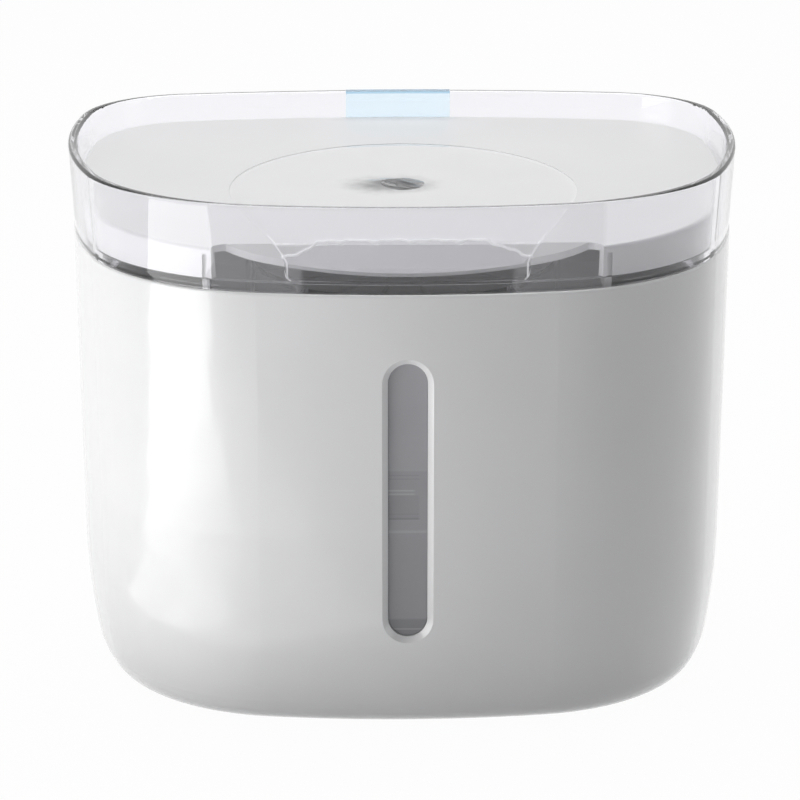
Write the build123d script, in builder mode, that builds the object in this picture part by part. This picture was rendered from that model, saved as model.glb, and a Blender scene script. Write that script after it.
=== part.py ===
from build123d import *
from math import cos, radians, sin, tan
import os

os.makedirs("parts", exist_ok=True)

# Pet water fountain, in millimetres. +Z is up and -Y is the front, where the water spills.
# The origin lies on the surface that the feet stand on, under the middle of the outline.

# ---------------------------------------------------------------- plan outline
# Four large discs overlap, and the corners where they meet are rounded.
width = 222.0
depth = 176.0
front_radius = 295.0
side_radius = 187.0
back_radius = 555.0
widest_y = 20.0
front_corner_radius = 69.0
back_corner_radius = 39.0

# ---------------------------------------------------------------- heights
# The housing's height follows from its tank floor, its window and the wall left above that.
foot_proud = 0.8
tank_floor_height = 27.2
window_floor_margin = 4.5
window_length = 90.9
window_top_margin = 22.7
window_bottom_height = tank_floor_height + window_floor_margin
housing_height = window_bottom_height + window_length + window_top_margin
tray_rise = 28.2
knee_height = 40.8
belly_height = 8.2
base_z = foot_proud
seam_z = base_z + housing_height
rim_z = seam_z + tray_rise
knee_z = base_z + knee_height
belly_z = base_z + belly_height
tank_floor_z = base_z + tank_floor_height

# ---------------------------------------------------------------- housing
housing_wall = 3.0
housing_draft = 0.96
seam_inset = 1.4
belly_run = 3.2
foot_run = 8.4
top_edge_round = 0.7
floor_thickness = 3.0
knee_inset = seam_inset + (seam_z - knee_z) * tan(radians(housing_draft))
belly_inset = knee_inset + belly_run
base_inset = belly_inset + foot_run

# ---------------------------------------------------------------- window in the housing
window_width = 12.5
window_bevel = 2.0
window_seat_depth = 5.2
window_pad_margin = 6.0
pane_recess = 2.7
pane_fit = 0.15
pane_flange_margin = 4.0
pane_flange_thickness = 2.0
window_gasket_thickness = 1.0

# ---------------------------------------------------------------- base cover, seal, screws and feet
cover_thickness = 2.5
cover_gap = 0.3
cover_rebate = 3.0
cover_ledge = 3.6
ledge_thickness = 2.0
base_gasket_thickness = 1.0
screw_shank_radius = 1.45
screw_fit = 0.05
screw_head_radius = 2.8
screw_head_height = 1.9
screw_length = 9.0
screw_slot_width = 0.7
screw_well_depth = 4.5
screw_well_wall = 1.6
screw_boss_radius = 4.0
screw_front_edge_x = 49.0
screw_front_edge_y = 38.0
screw_back_edge_x = 35.0
screw_back_edge_y = 34.0
foot_radius = 7.0
foot_height = 1.6
foot_front_edge_x = 66.0
foot_front_edge_y = 38.0
foot_back_edge_x = 54.0
foot_back_edge_y = 34.0

# ---------------------------------------------------------------- power inlet
inlet_height = 13.0
inlet_nose_radius = 4.0
inlet_nose_length = 4.6
inlet_fit = 0.1
inlet_bore_radius = 2.75
inlet_bore_depth = 9.5
inlet_pin_radius = 1.05
inlet_pin_drop = 0.5
inlet_body_width = 10.0
inlet_body_height = 11.0
inlet_body_length = 13.0
inlet_recess_radius = 6.5
inlet_recess_depth = 8.0
inlet_pad_thickness = 5.0
inlet_pad_round = 1.5

# ---------------------------------------------------------------- spring axis and drive
spring_y = -4.0
dome_radius = 17.0
dome_height = 15.0
dome_wall = 2.0
stator_gap = 0.6
stator_yoke_thickness = 3.0
stator_pole_count = 6
stator_pole_circle = 9.2
stator_pole_radius = 2.6
stator_pole_height = 12.0
coil_wall = 1.5
coil_gap = 0.15
stator_post_radius = 6.0

# ---------------------------------------------------------------- control board
board_length = 62.0
board_width = 34.0
board_thickness = 1.6
board_height = 9.0
board_inlet_gap = 7.0
board_post_radius = 3.0
board_post_margin = 5.0
chip_size = 7.0
chip_height = 1.8
choke_length = 9.0
choke_width = 5.0
capacitor_radius = 3.2
capacitor_height = 6.5

# ---------------------------------------------------------------- cable duct and lamp
duct_half_width = 24.0
duct_wall = 2.0
duct_depth = 18.0
duct_top_gap = 1.0
lamp_window_length = 32.0
lamp_window_width = 5.0
lamp_window_flange = 1.6
lamp_window_flange_thickness = 1.2
lamp_drop = 6.0
lamp_board_thickness = 1.2
lamp_count = 3
lamp_pitch = 11.0
lamp_size = 3.2
lamp_height = 1.6
ribbon_width = 8.0
ribbon_thickness = 0.8
ribbon_bend = 5.0
ribbon_x = -14.0

# ---------------------------------------------------------------- pump
pump_radius = 50.0
pump_height = 31.4
pump_wall = 2.0
pump_lid_thickness = 2.4
pump_gap = 0.4
sleeve_wall = 2.0
deck_thickness = 1.8
chamber_radius = 20.0
chamber_height = 11.5
chamber_wall = 2.0
chamber_port_count = 6
chamber_port_width = 6.7
chamber_port_height = 2.9
spigot_radius = 7.0
spigot_bore_radius = 5.4
spigot_length = 11.5
spider_arm_count = 3
spider_width = 1.2
shaft_radius = 1.5
shaft_boss_radius = 2.8
shaft_running_gap = 0.05
bush_radius = 3.2
bush_thickness = 1.2
impeller_radius = 15.0
impeller_disc_thickness = 1.2
impeller_vane_count = 6
impeller_vane_height = 3.2
impeller_vane_thickness = 1.2
impeller_vane_middle = 9.0
impeller_vane_bow = 3.0
impeller_vane_tip = 14.25
impeller_hub_radius = 3.4
magnet_bore_radius = 5.0
magnet_thickness = 3.0
rotor_end_gap = 0.5
foam_gap = 0.3
intake_left = -26.0
intake_right = 2.0
intake_depth = 20.0
intake_height = 9.0
intake_wall = 1.6
intake_slot_width = 1.4
intake_slot_pitch = 3.0
intake_slot_count = 8

# ---------------------------------------------------------------- riser
riser_wall = 2.0
riser_fit = 0.05
riser_top_gap = 1.5
riser_seal_wall = 1.1
riser_seal_height = 3.0
riser_seal_drop = 1.0
riser_seal_gap = 0.1

# ---------------------------------------------------------------- drinking tray
tray_wall = 3.0
tray_draft = 3.55
tray_seat_gap = 0.2
tray_shoulder = 2.8
tray_skirt_inset = 5.0
tray_skirt_wall = 2.5
tray_skirt_depth = 10.0
tray_floor_thickness = 2.5
rim_round = 1.0
well_radius = 52.0
well_wall = 2.0
well_depth = 18.0
chimney_gap = 0.5
chimney_wall = 2.0
chimney_rise = 3.0
post_x = 32.8
post_inset = 10.0
post_radius = 2.0
post_height = 8.2
drain_slot_count = 12
drain_slot_width = 4.0

# ---------------------------------------------------------------- filter cartridge
filter_gap = 0.5
filter_seat_gap = 0.2
filter_height = 15.0
filter_wall = 1.5
filter_slot_count = 16
filter_slot_width = 2.4
filter_pad_thickness = 3.0
filter_layer_gap = 0.3
filter_tab_height = 9.0
filter_tab_width = 16.0
filter_tab_thickness = 2.0
filter_tab_side = 3.0
filter_tab_top = 3.0

# ---------------------------------------------------------------- water plate
plate_gap = 0.4
plate_wall = 2.2
plate_seat_gap = 0.2
plate_edge_round = 1.2
spill_edge_depth = 16.0
spill_edge_height = 10.5
plate_slope = 2.2
notch_half_width = 61.0
notch_corner_radius = 5.0
cheek_wall = 2.2
cheek_drop = 5.0
cheek_gutter_gap = 0.4
ramp_slope = 47.0
ramp_thickness = 1.6
ramp_front_inset = 9.6
course_depth = 0.8
pond_radius = 57.0
pond_forward = 6.0
course_half_width = 42.0
ramp_course_half_width = 34.0
spring_hole_radius = 7.0
nozzle_wall = 2.2
nozzle_drop = 11.0
key_slot_land = 0.9
key_slot_width = 1.7
key_slot_height = 7.7
key_slot_depth = 0.8

# ---------------------------------------------------------------- light guide
guide_half_width = 18.2
guide_fit = 0.1
guide_proud = 0.3
guide_lip_height = 2.8
guide_lip_proud = 0.7
guide_foot_height = 2.6
guide_plate_gap = 0.4

# ---------------------------------------------------------------- how far a cut or a joint runs past a face
cut_over = 1.0

front = -depth / 2
back = depth / 2


def outline(inset):
    """Plan outline, drawn inset by the given distance. Its arcs keep their centres."""
    with BuildSketch() as shape:
        with Locations((0, front + front_radius)):
            Circle(front_radius - inset)
        for side in (-1, 1):
            with Locations((side * (side_radius - width / 2), widest_y)):
                Circle(side_radius - inset, mode=Mode.INTERSECT)
        with Locations((0, back - back_radius)):
            Circle(back_radius - inset, mode=Mode.INTERSECT)
        fillet(shape.vertices().group_by(Axis.Y)[0], front_corner_radius - inset)
        fillet(shape.vertices().group_by(Axis.Y)[-1], back_corner_radius - inset)
    return shape.sketch


def half_outline():
    """The rim's outline on the +X side, as the path that wall profiles are swept along."""
    with BuildSketch() as half:
        add(outline(0))
        with Locations((-width / 2, 0)):
            Rectangle(width, 2 * depth, mode=Mode.SUBTRACT)
    return Wire(half.edges().filter_by(GeomType.CIRCLE))


def tray_inset(z):
    """Inset of the tray's outer wall at a height above the shoulder."""
    return (rim_z - z) * tan(radians(tray_draft))


def plate_top_z(y):
    """Height of the water plate's top at a distance along Y."""
    return spill_edge_z + (y - spill_edge_y) * tan(radians(plate_slope))


path = half_outline()

# Derived places that several pieces share
cover_z = base_z + cover_thickness
ledge_z = cover_z + base_gasket_thickness
rebate_inset = base_inset + cover_rebate
ledge_inset = rebate_inset + cover_ledge
floor_under_z = tank_floor_z - floor_thickness
dome_top_z = tank_floor_z + dome_height
yoke_top_z = dome_top_z - dome_wall - stator_gap - stator_pole_height
yoke_z = yoke_top_z - stator_yoke_thickness
board_post_pitch_x = board_length - 2 * board_post_margin
board_post_pitch_y = board_width - 2 * board_post_margin
screw_seat_z = base_z + screw_well_depth
screw_well_top_z = screw_seat_z + screw_well_wall
screw_spots = [
    (side * (width / 2 - edge_x), y)
    for side in (-1, 1)
    for edge_x, y in (
        (screw_front_edge_x, front + screw_front_edge_y),
        (screw_back_edge_x, back - screw_back_edge_y),
    )
]
foot_spots = [
    (side * (width / 2 - edge_x), y)
    for side in (-1, 1)
    for edge_x, y in (
        (foot_front_edge_x, front + foot_front_edge_y),
        (foot_back_edge_x, back - foot_back_edge_y),
    )
]
inlet_z = base_z + inlet_height
inlet_seat_y = back - inlet_recess_depth - inlet_pad_thickness
board_y = inlet_seat_y - inlet_body_length - board_inlet_gap - board_width / 2
tray_skirt_z = seam_z + tray_seat_gap - tray_skirt_depth
tray_floor_z = tray_skirt_z + tray_floor_thickness
tray_ledge_z = seam_z + tray_seat_gap + tray_shoulder
spill_edge_y = front + spill_edge_depth
spill_edge_z = tray_ledge_z + spill_edge_height
pond_y = spring_y - pond_forward
duct_top_z = tray_skirt_z - duct_top_gap
duct_back_y = back - knee_inset - housing_wall / 2
duct_front_y = back - tray_skirt_inset - duct_depth
lamp_window_y = back - tray_skirt_inset - tray_skirt_wall / 2
lamp_board_z = duct_top_z - duct_wall - lamp_window_flange_thickness - lamp_drop

# ================================================================ housing
# The wall is one profile swept round the outline: a drafted side, a long belly arc and a foot arc.
# The tank floor, the drive dome, the cable duct and the screw bosses are moulded with it.
housing_shift = (seam_z - window_bottom_height - base_z - window_length / 2) * tan(radians(housing_draft))
window_normal = (0, -cos(radians(housing_draft)), -sin(radians(housing_draft)))
window_origin = (0, front + seam_inset + housing_shift, base_z + window_bottom_height + window_length / 2)
window_plane = Plane(origin=window_origin, x_dir=(1, 0, 0), z_dir=window_normal)

with BuildPart() as housing:
    with BuildSketch(Plane.YZ) as housing_profile:
        with BuildLine():
            side = Line((front + seam_inset, seam_z), (front + knee_inset, knee_z))
            belly = TangentArc(side @ 1, (front + belly_inset, belly_z), tangent=side % 1)
            foot = TangentArc(belly @ 1, (front + base_inset, base_z), tangent=belly % 1)
            base = Polyline(
                foot @ 1,
                (front + rebate_inset, base_z),
                (front + rebate_inset, ledge_z),
                (front + ledge_inset, ledge_z),
                (front + ledge_inset, ledge_z + ledge_thickness),
                (front + base_inset, ledge_z + ledge_thickness),
                (front + belly_inset + housing_wall, belly_z + housing_wall),
            )
            inner_side = Line(
                (front + seam_inset + housing_wall, seam_z),
                (front + knee_inset + housing_wall, knee_z),
            )
            TangentArc(inner_side @ 1, base @ 1, tangent=inner_side % 1)
            Line(inner_side @ 0, side @ 0)
        make_face()
        fillet(housing_profile.vertices().group_by(Axis.Y)[-1], top_edge_round)
    sweep(path=path)
    mirror(about=Plane.YZ)
    with BuildSketch(Plane.XY.offset(floor_under_z)):
        add(outline(knee_inset + housing_wall / 2))
    extrude(amount=floor_thickness)
    # Drive dome, a thin cap that the stator reaches up into from below
    with BuildSketch(Plane.XY.offset(floor_under_z)):
        with Locations((0, spring_y)):
            Circle(dome_radius)
    extrude(amount=dome_top_z - floor_under_z)
    with BuildSketch(Plane.XY.offset(floor_under_z)):
        with Locations((0, spring_y)):
            Circle(dome_radius - dome_wall)
    extrude(amount=dome_top_z - floor_under_z - dome_wall, mode=Mode.SUBTRACT)
    # Cable duct against the rear wall, open to the base and closed at its top
    with BuildSketch(Plane.XY.offset(floor_under_z)):
        with Locations((0, duct_front_y)):
            Rectangle(2 * duct_half_width, duct_back_y - duct_front_y, align=(Align.CENTER, Align.MIN))
        with Locations((0, duct_front_y + duct_wall)):
            Rectangle(
                2 * (duct_half_width - duct_wall),
                duct_back_y - duct_front_y,
                align=(Align.CENTER, Align.MIN),
                mode=Mode.SUBTRACT,
            )
    extrude(amount=duct_top_z - floor_under_z)
    with BuildSketch(Plane.XY.offset(duct_top_z - duct_wall)):
        with Locations((0, duct_front_y)):
            Rectangle(2 * duct_half_width, duct_back_y - duct_front_y, align=(Align.CENTER, Align.MIN))
    extrude(amount=duct_wall)
    with BuildSketch(Plane.XY.offset(floor_under_z)):
        with Locations((0, duct_front_y + duct_wall)):
            Rectangle(
                2 * (duct_half_width - duct_wall),
                duct_depth / 2,
                align=(Align.CENTER, Align.MIN),
            )
    extrude(amount=floor_thickness, mode=Mode.SUBTRACT)
    with BuildSketch(Plane.XY.offset(duct_top_z - duct_wall)):
        with Locations((0, lamp_window_y)):
            Rectangle(lamp_window_length, lamp_window_width)
    extrude(amount=duct_wall, mode=Mode.SUBTRACT)
    # Rails in the duct that the lamp board rests on
    with BuildSketch(Plane.XY.offset(lamp_board_z - duct_wall)):
        for side in (-1, 1):
            with Locations((side * (duct_half_width - duct_wall), duct_front_y + duct_depth / 2)):
                Rectangle(2 * duct_wall, duct_depth)
    extrude(amount=duct_wall)
    # Screw bosses under the floor
    with BuildSketch(Plane.XY.offset(screw_well_top_z)):
        with Locations(*screw_spots):
            Circle(screw_boss_radius)
    extrude(amount=floor_under_z - screw_well_top_z)
    with BuildSketch(Plane.XY.offset(screw_well_top_z)):
        with Locations(*screw_spots):
            Circle(screw_shank_radius + screw_fit)
    extrude(amount=screw_length, mode=Mode.SUBTRACT)
    # Power inlet: a round recess outside, a flat pad inside and the hole between them
    with BuildSketch(Plane.XZ.offset(-inlet_seat_y)):
        with Locations((0, inlet_z)):
            RectangleRounded(2 * inlet_recess_radius, 2 * inlet_recess_radius, inlet_pad_round)
    extrude(amount=-inlet_pad_thickness)
    with BuildSketch(Plane.XZ.offset(-inlet_seat_y - inlet_pad_thickness)):
        with Locations((0, inlet_z)):
            Circle(inlet_recess_radius)
    extrude(amount=-inlet_recess_depth, mode=Mode.SUBTRACT)
    with BuildSketch(Plane.XZ.offset(-inlet_seat_y)):
        with Locations((0, inlet_z)):
            Circle(inlet_nose_radius + inlet_fit)
    extrude(amount=-inlet_pad_thickness, mode=Mode.SUBTRACT)
    # Window: a flat pad inside for the gasket, the slot and its bevelled edge
    with BuildSketch(window_plane.offset(-window_seat_depth)):
        SlotOverall(
            window_length + 2 * window_pad_margin, window_width + 2 * window_pad_margin, rotation=90
        )
    extrude(amount=window_seat_depth - housing_wall / 2)
    with BuildSketch(window_plane.offset(-window_seat_depth)):
        SlotOverall(window_length, window_width, rotation=90)
    extrude(amount=window_seat_depth + housing_wall, mode=Mode.SUBTRACT)
    with BuildSketch(window_plane.offset(-window_bevel)):
        SlotOverall(window_length, window_width, rotation=90)
    extrude(amount=window_bevel + cut_over, taper=-45, mode=Mode.SUBTRACT)

# ================================================================ window pane and its gasket
with BuildPart() as window_pane:
    with BuildSketch(window_plane.offset(-window_seat_depth - window_gasket_thickness)):
        SlotOverall(
            window_length + 2 * pane_flange_margin, window_width + 2 * pane_flange_margin, rotation=90
        )
    extrude(amount=-pane_flange_thickness)
    with BuildSketch(window_plane.offset(-window_seat_depth - window_gasket_thickness)):
        SlotOverall(window_length - 2 * pane_fit, window_width - 2 * pane_fit, rotation=90)
    extrude(amount=window_seat_depth + window_gasket_thickness - pane_recess)

with BuildPart() as window_gasket:
    with BuildSketch(window_plane.offset(-window_seat_depth)):
        SlotOverall(
            window_length + 2 * pane_flange_margin, window_width + 2 * pane_flange_margin, rotation=90
        )
        SlotOverall(window_length, window_width, rotation=90, mode=Mode.SUBTRACT)
    extrude(amount=-window_gasket_thickness)

# ================================================================ base cover, seal, screws and feet
with BuildPart() as base_cover:
    with BuildSketch(Plane.XY.offset(base_z)):
        add(outline(rebate_inset + cover_gap))
    extrude(amount=cover_thickness)
    with BuildSketch(Plane.XY.offset(base_z)):
        with Locations(*screw_spots):
            Circle(screw_head_radius + cover_gap + screw_well_wall)
    extrude(amount=screw_well_depth + screw_well_wall)
    with BuildSketch(Plane.XY.offset(base_z)):
        with Locations(*screw_spots):
            Circle(screw_head_radius + cover_gap)
    extrude(amount=screw_well_depth, mode=Mode.SUBTRACT)
    with BuildSketch(Plane.XY.offset(screw_seat_z)):
        with Locations(*screw_spots):
            Circle(screw_shank_radius + screw_fit)
    extrude(amount=screw_well_wall, mode=Mode.SUBTRACT)
    # Posts for the stator and the control board
    with BuildSketch(Plane.XY.offset(cover_z)):
        with Locations((0, spring_y)):
            Circle(stator_post_radius)
    extrude(amount=yoke_z - cover_z)
    with BuildSketch(Plane.XY.offset(cover_z)):
        with Locations((0, board_y)):
            with GridLocations(board_post_pitch_x, board_post_pitch_y, 2, 2):
                Circle(board_post_radius)
    extrude(amount=board_height - cover_thickness)
    # Shallow recesses that the feet are glued into
    with BuildSketch(Plane.XY.offset(base_z)):
        with Locations(*foot_spots):
            Circle(foot_radius)
    extrude(amount=foot_height - foot_proud, mode=Mode.SUBTRACT)

with BuildPart() as base_gasket:
    with BuildSketch(Plane.XY.offset(cover_z)):
        add(outline(rebate_inset + cover_gap))
        add(outline(ledge_inset), mode=Mode.SUBTRACT)
    extrude(amount=base_gasket_thickness)

with BuildPart() as cover_screws:
    with BuildSketch(Plane.XY.offset(screw_seat_z)):
        with Locations(*screw_spots):
            Circle(screw_head_radius)
    extrude(amount=-screw_head_height)
    with BuildSketch(Plane.XY.offset(screw_seat_z)):
        with Locations(*screw_spots):
            Circle(screw_shank_radius)
    extrude(amount=screw_length)
    with BuildSketch(Plane.XY.offset(screw_seat_z - screw_head_height)):
        with Locations(*screw_spots):
            Rectangle(screw_head_radius, screw_slot_width)
            Rectangle(screw_slot_width, screw_head_radius)
    extrude(amount=screw_head_height / 2, mode=Mode.SUBTRACT)

with BuildPart() as feet:
    with BuildSketch():
        with Locations(*foot_spots):
            Circle(foot_radius)
    extrude(amount=foot_height)
    chamfer(feet.edges().group_by(Axis.Z)[0], foot_proud / 2)

# ================================================================ power inlet socket
with BuildPart() as inlet_socket:
    with BuildSketch(Plane.XZ.offset(-inlet_seat_y)):
        with Locations((0, inlet_z)):
            Rectangle(inlet_body_width, inlet_body_height)
    extrude(amount=inlet_body_length)
    with BuildSketch(Plane.XZ.offset(-inlet_seat_y)):
        with Locations((0, inlet_z)):
            Circle(inlet_nose_radius)
    extrude(amount=-inlet_nose_length)
    with BuildSketch(Plane.XZ.offset(-inlet_seat_y - inlet_nose_length)):
        with Locations((0, inlet_z)):
            Circle(inlet_bore_radius)
    extrude(amount=inlet_bore_depth, mode=Mode.SUBTRACT)

with BuildPart() as inlet_pin:
    with BuildSketch(Plane.XZ.offset(-inlet_seat_y - inlet_nose_length + inlet_bore_depth)):
        with Locations((0, inlet_z)):
            Circle(inlet_pin_radius)
    extrude(amount=inlet_pin_drop - inlet_bore_depth)

# ================================================================ stator, under the dome
# An iron yoke with upright poles, each inside its own coil.

with BuildPart() as stator_core:
    with BuildSketch(Plane.XY.offset(yoke_z)):
        with Locations((0, spring_y)):
            Circle(stator_pole_circle + stator_pole_radius + coil_wall)
    extrude(amount=stator_yoke_thickness)
    with BuildSketch(Plane.XY.offset(yoke_top_z)):
        with Locations((0, spring_y)):
            with PolarLocations(stator_pole_circle, stator_pole_count):
                Circle(stator_pole_radius)
    extrude(amount=stator_pole_height)

with BuildPart() as stator_coils:
    with BuildSketch(Plane.XY.offset(yoke_top_z + coil_gap)):
        with Locations((0, spring_y)):
            with PolarLocations(stator_pole_circle, stator_pole_count):
                Circle(stator_pole_radius + coil_gap + coil_wall)
                Circle(stator_pole_radius + coil_gap, mode=Mode.SUBTRACT)
    extrude(amount=stator_pole_height - 2 * coil_gap)

# ================================================================ control board
board_z = base_z + board_height

with BuildPart() as control_board:
    with BuildSketch(Plane.XY.offset(board_z)):
        with Locations((0, board_y)):
            Rectangle(board_length, board_width)
    extrude(amount=board_thickness)
    # Driver chip, choke and capacitors on the board
    with BuildSketch(Plane.XY.offset(board_z + board_thickness)):
        with Locations((-board_length / 5, board_y)):
            Rectangle(chip_size, chip_size)
        with Locations((board_length / 5, board_y - board_width / 6)):
            Rectangle(choke_length, choke_width)
    extrude(amount=chip_height)
    with BuildSketch(Plane.XY.offset(board_z + board_thickness)):
        with Locations((board_length / 3, board_y + board_width / 5), (-board_length / 3, board_y)):
            Circle(capacitor_radius)
    extrude(amount=capacitor_height)

# ================================================================ lamp under the light guide
with BuildPart() as lamp_window:
    with BuildSketch(Plane.XY.offset(duct_top_z - duct_wall)):
        with Locations((0, lamp_window_y)):
            Rectangle(lamp_window_length, lamp_window_width)
    extrude(amount=duct_wall)
    with BuildSketch(Plane.XY.offset(duct_top_z - duct_wall)):
        with Locations((0, lamp_window_y - lamp_window_flange)):
            Rectangle(lamp_window_length + 2 * lamp_window_flange, lamp_window_width)
    extrude(amount=-lamp_window_flange_thickness)

with BuildPart() as lamp_board:
    with BuildSketch(Plane.XY.offset(lamp_board_z)):
        with Locations((0, duct_front_y + duct_wall + cover_gap)):
            Rectangle(
                2 * (duct_half_width - duct_wall - cover_gap),
                duct_depth - duct_wall - 2 * cover_gap,
                align=(Align.CENTER, Align.MIN),
            )
    extrude(amount=lamp_board_thickness)

with BuildPart() as lamps:
    with BuildSketch(Plane.XY.offset(lamp_board_z + lamp_board_thickness)):
        with Locations((0, lamp_window_y - lamp_window_flange)):
            with GridLocations(lamp_pitch, 1, lamp_count, 1):
                Rectangle(lamp_size, lamp_size)
    extrude(amount=lamp_height)

# Flat ribbon from the control board, up the duct's front wall, to the lamp board
ribbon_low_z = board_z + board_thickness + ribbon_thickness / 2
ribbon_y = duct_front_y + duct_wall + 2 * ribbon_thickness

with BuildPart() as lamp_ribbon:
    with BuildSketch(Plane.YZ.offset(ribbon_x - ribbon_width / 2)):
        with BuildLine() as ribbon_route:
            FilletPolyline(
                (board_y + board_width / 4, ribbon_low_z),
                (ribbon_y, ribbon_low_z),
                (ribbon_y, lamp_board_z),
                radius=ribbon_bend,
            )
        trace(ribbon_route.line, ribbon_thickness)
    extrude(amount=ribbon_width)

# ================================================================ pump
# A round case on the tank floor. Its sleeve drops over the dome, and the rotor turns on the deck.
sleeve_radius = dome_radius + pump_gap
deck_z = dome_top_z + pump_gap
deck_top_z = deck_z + deck_thickness
pump_rim_z = tank_floor_z + pump_height - pump_lid_thickness
pump_top_z = pump_rim_z + pump_lid_thickness
chamber_top_z = deck_top_z + chamber_height

with BuildPart() as pump_case:
    with BuildSketch(Plane.XY.offset(tank_floor_z)):
        with Locations((0, spring_y)):
            Circle(pump_radius)
    extrude(amount=pump_rim_z - tank_floor_z)
    fillet(pump_case.edges().group_by(Axis.Z)[0], pump_wall)
    with BuildSketch(Plane.XY.offset(tank_floor_z + pump_wall)):
        with Locations((0, spring_y)):
            Circle(pump_radius - pump_wall)
            Circle(sleeve_radius + sleeve_wall, mode=Mode.SUBTRACT)
    extrude(amount=pump_rim_z - tank_floor_z, mode=Mode.SUBTRACT)
    with BuildSketch(Plane.XY.offset(deck_top_z)):
        with Locations((0, spring_y)):
            Circle(sleeve_radius + 2 * sleeve_wall)
    extrude(amount=pump_rim_z, mode=Mode.SUBTRACT)
    with BuildSketch(Plane.XY.offset(tank_floor_z)):
        with Locations((0, spring_y)):
            Circle(sleeve_radius)
    extrude(amount=deck_z - tank_floor_z, mode=Mode.SUBTRACT)

# Rotor chamber: an upturned cup on the deck, with inlets round its foot and a spigot on top
with BuildPart() as pump_chamber:
    with BuildSketch(Plane.XY.offset(deck_top_z)):
        with Locations((0, spring_y)):
            Circle(chamber_radius)
    extrude(amount=chamber_height)
    with BuildSketch(Plane.XY.offset(chamber_top_z)):
        with Locations((0, spring_y)):
            Circle(spigot_radius)
    extrude(amount=spigot_length)
    with BuildSketch(Plane.XY.offset(deck_top_z)):
        with Locations((0, spring_y)):
            Circle(chamber_radius - chamber_wall)
    extrude(amount=chamber_height - chamber_wall, mode=Mode.SUBTRACT)
    with BuildSketch(Plane.XY.offset(deck_top_z)):
        with Locations((0, spring_y)):
            Circle(spigot_bore_radius)
    extrude(amount=chamber_height + spigot_length, mode=Mode.SUBTRACT)
    with BuildSketch(Plane.XY.offset(chamber_top_z - chamber_wall)):
        with Locations((0, spring_y)):
            Circle(shaft_boss_radius)
            with PolarLocations(0, spider_arm_count):
                Rectangle(spigot_bore_radius + cut_over, spider_width, align=(Align.MIN, Align.CENTER))
            Circle(shaft_radius, mode=Mode.SUBTRACT)
    extrude(amount=chamber_wall)
    with BuildSketch(Plane.XY.offset(deck_top_z)):
        with Locations((0, spring_y)):
            with PolarLocations(chamber_radius - chamber_wall / 2, chamber_port_count):
                Rectangle(2 * chamber_wall, chamber_port_width)
    extrude(amount=chamber_port_height, mode=Mode.SUBTRACT)

with BuildPart() as impeller_shaft:
    with BuildSketch(Plane.XY.offset(deck_top_z)):
        with Locations((0, spring_y)):
            Circle(shaft_radius)
    extrude(amount=chamber_height)

with BuildPart() as shaft_bush:
    with BuildSketch(Plane.XY.offset(deck_top_z)):
        with Locations((0, spring_y)):
            Circle(bush_radius)
            Circle(shaft_radius, mode=Mode.SUBTRACT)
    extrude(amount=bush_thickness)

# Impeller: a disc with curved vanes above and the ring magnet below
magnet_z = deck_top_z + bush_thickness + rotor_end_gap
disc_z = magnet_z + magnet_thickness
vane_z = disc_z + impeller_disc_thickness

with BuildPart() as impeller:
    with BuildSketch(Plane.XY.offset(disc_z)):
        with Locations((0, spring_y)):
            Circle(impeller_radius)
    extrude(amount=impeller_disc_thickness)
    with BuildSketch(Plane.XY.offset(magnet_z)):
        with Locations((0, spring_y)):
            Circle(impeller_hub_radius)
    extrude(amount=disc_z + impeller_disc_thickness + impeller_vane_height - magnet_z)
    for turn in range(impeller_vane_count):
        with BuildSketch(Plane.XY.offset(vane_z)):
            with Locations(Location((0, spring_y, 0), (0, 0, turn * 360 / impeller_vane_count))):
                with BuildLine() as vane:
                    ThreePointArc(
                        (impeller_hub_radius - cut_over, 0),
                        (impeller_vane_middle, impeller_vane_bow),
                        (impeller_vane_tip, 0),
                    )
                trace(vane.line, impeller_vane_thickness)
        extrude(amount=impeller_vane_height)
    with BuildSketch(Plane.XY.offset(magnet_z)):
        with Locations((0, spring_y)):
            Circle(shaft_radius + shaft_running_gap)
    extrude(amount=impeller_vane_height + chamber_height, mode=Mode.SUBTRACT)

with BuildPart() as rotor_magnet:
    with BuildSketch(Plane.XY.offset(magnet_z)):
        with Locations((0, spring_y)):
            Circle(impeller_radius)
            Circle(magnet_bore_radius, mode=Mode.SUBTRACT)
    extrude(amount=magnet_thickness)

with BuildPart() as pump_foam:
    with BuildSketch(Plane.XY.offset(tank_floor_z + pump_wall + foam_gap)):
        with Locations((0, spring_y)):
            Circle(pump_radius - pump_wall - foam_gap)
            Circle(chamber_radius + foam_gap, mode=Mode.SUBTRACT)
    extrude(amount=pump_rim_z - tank_floor_z - pump_wall - 2 * foam_gap)

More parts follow.
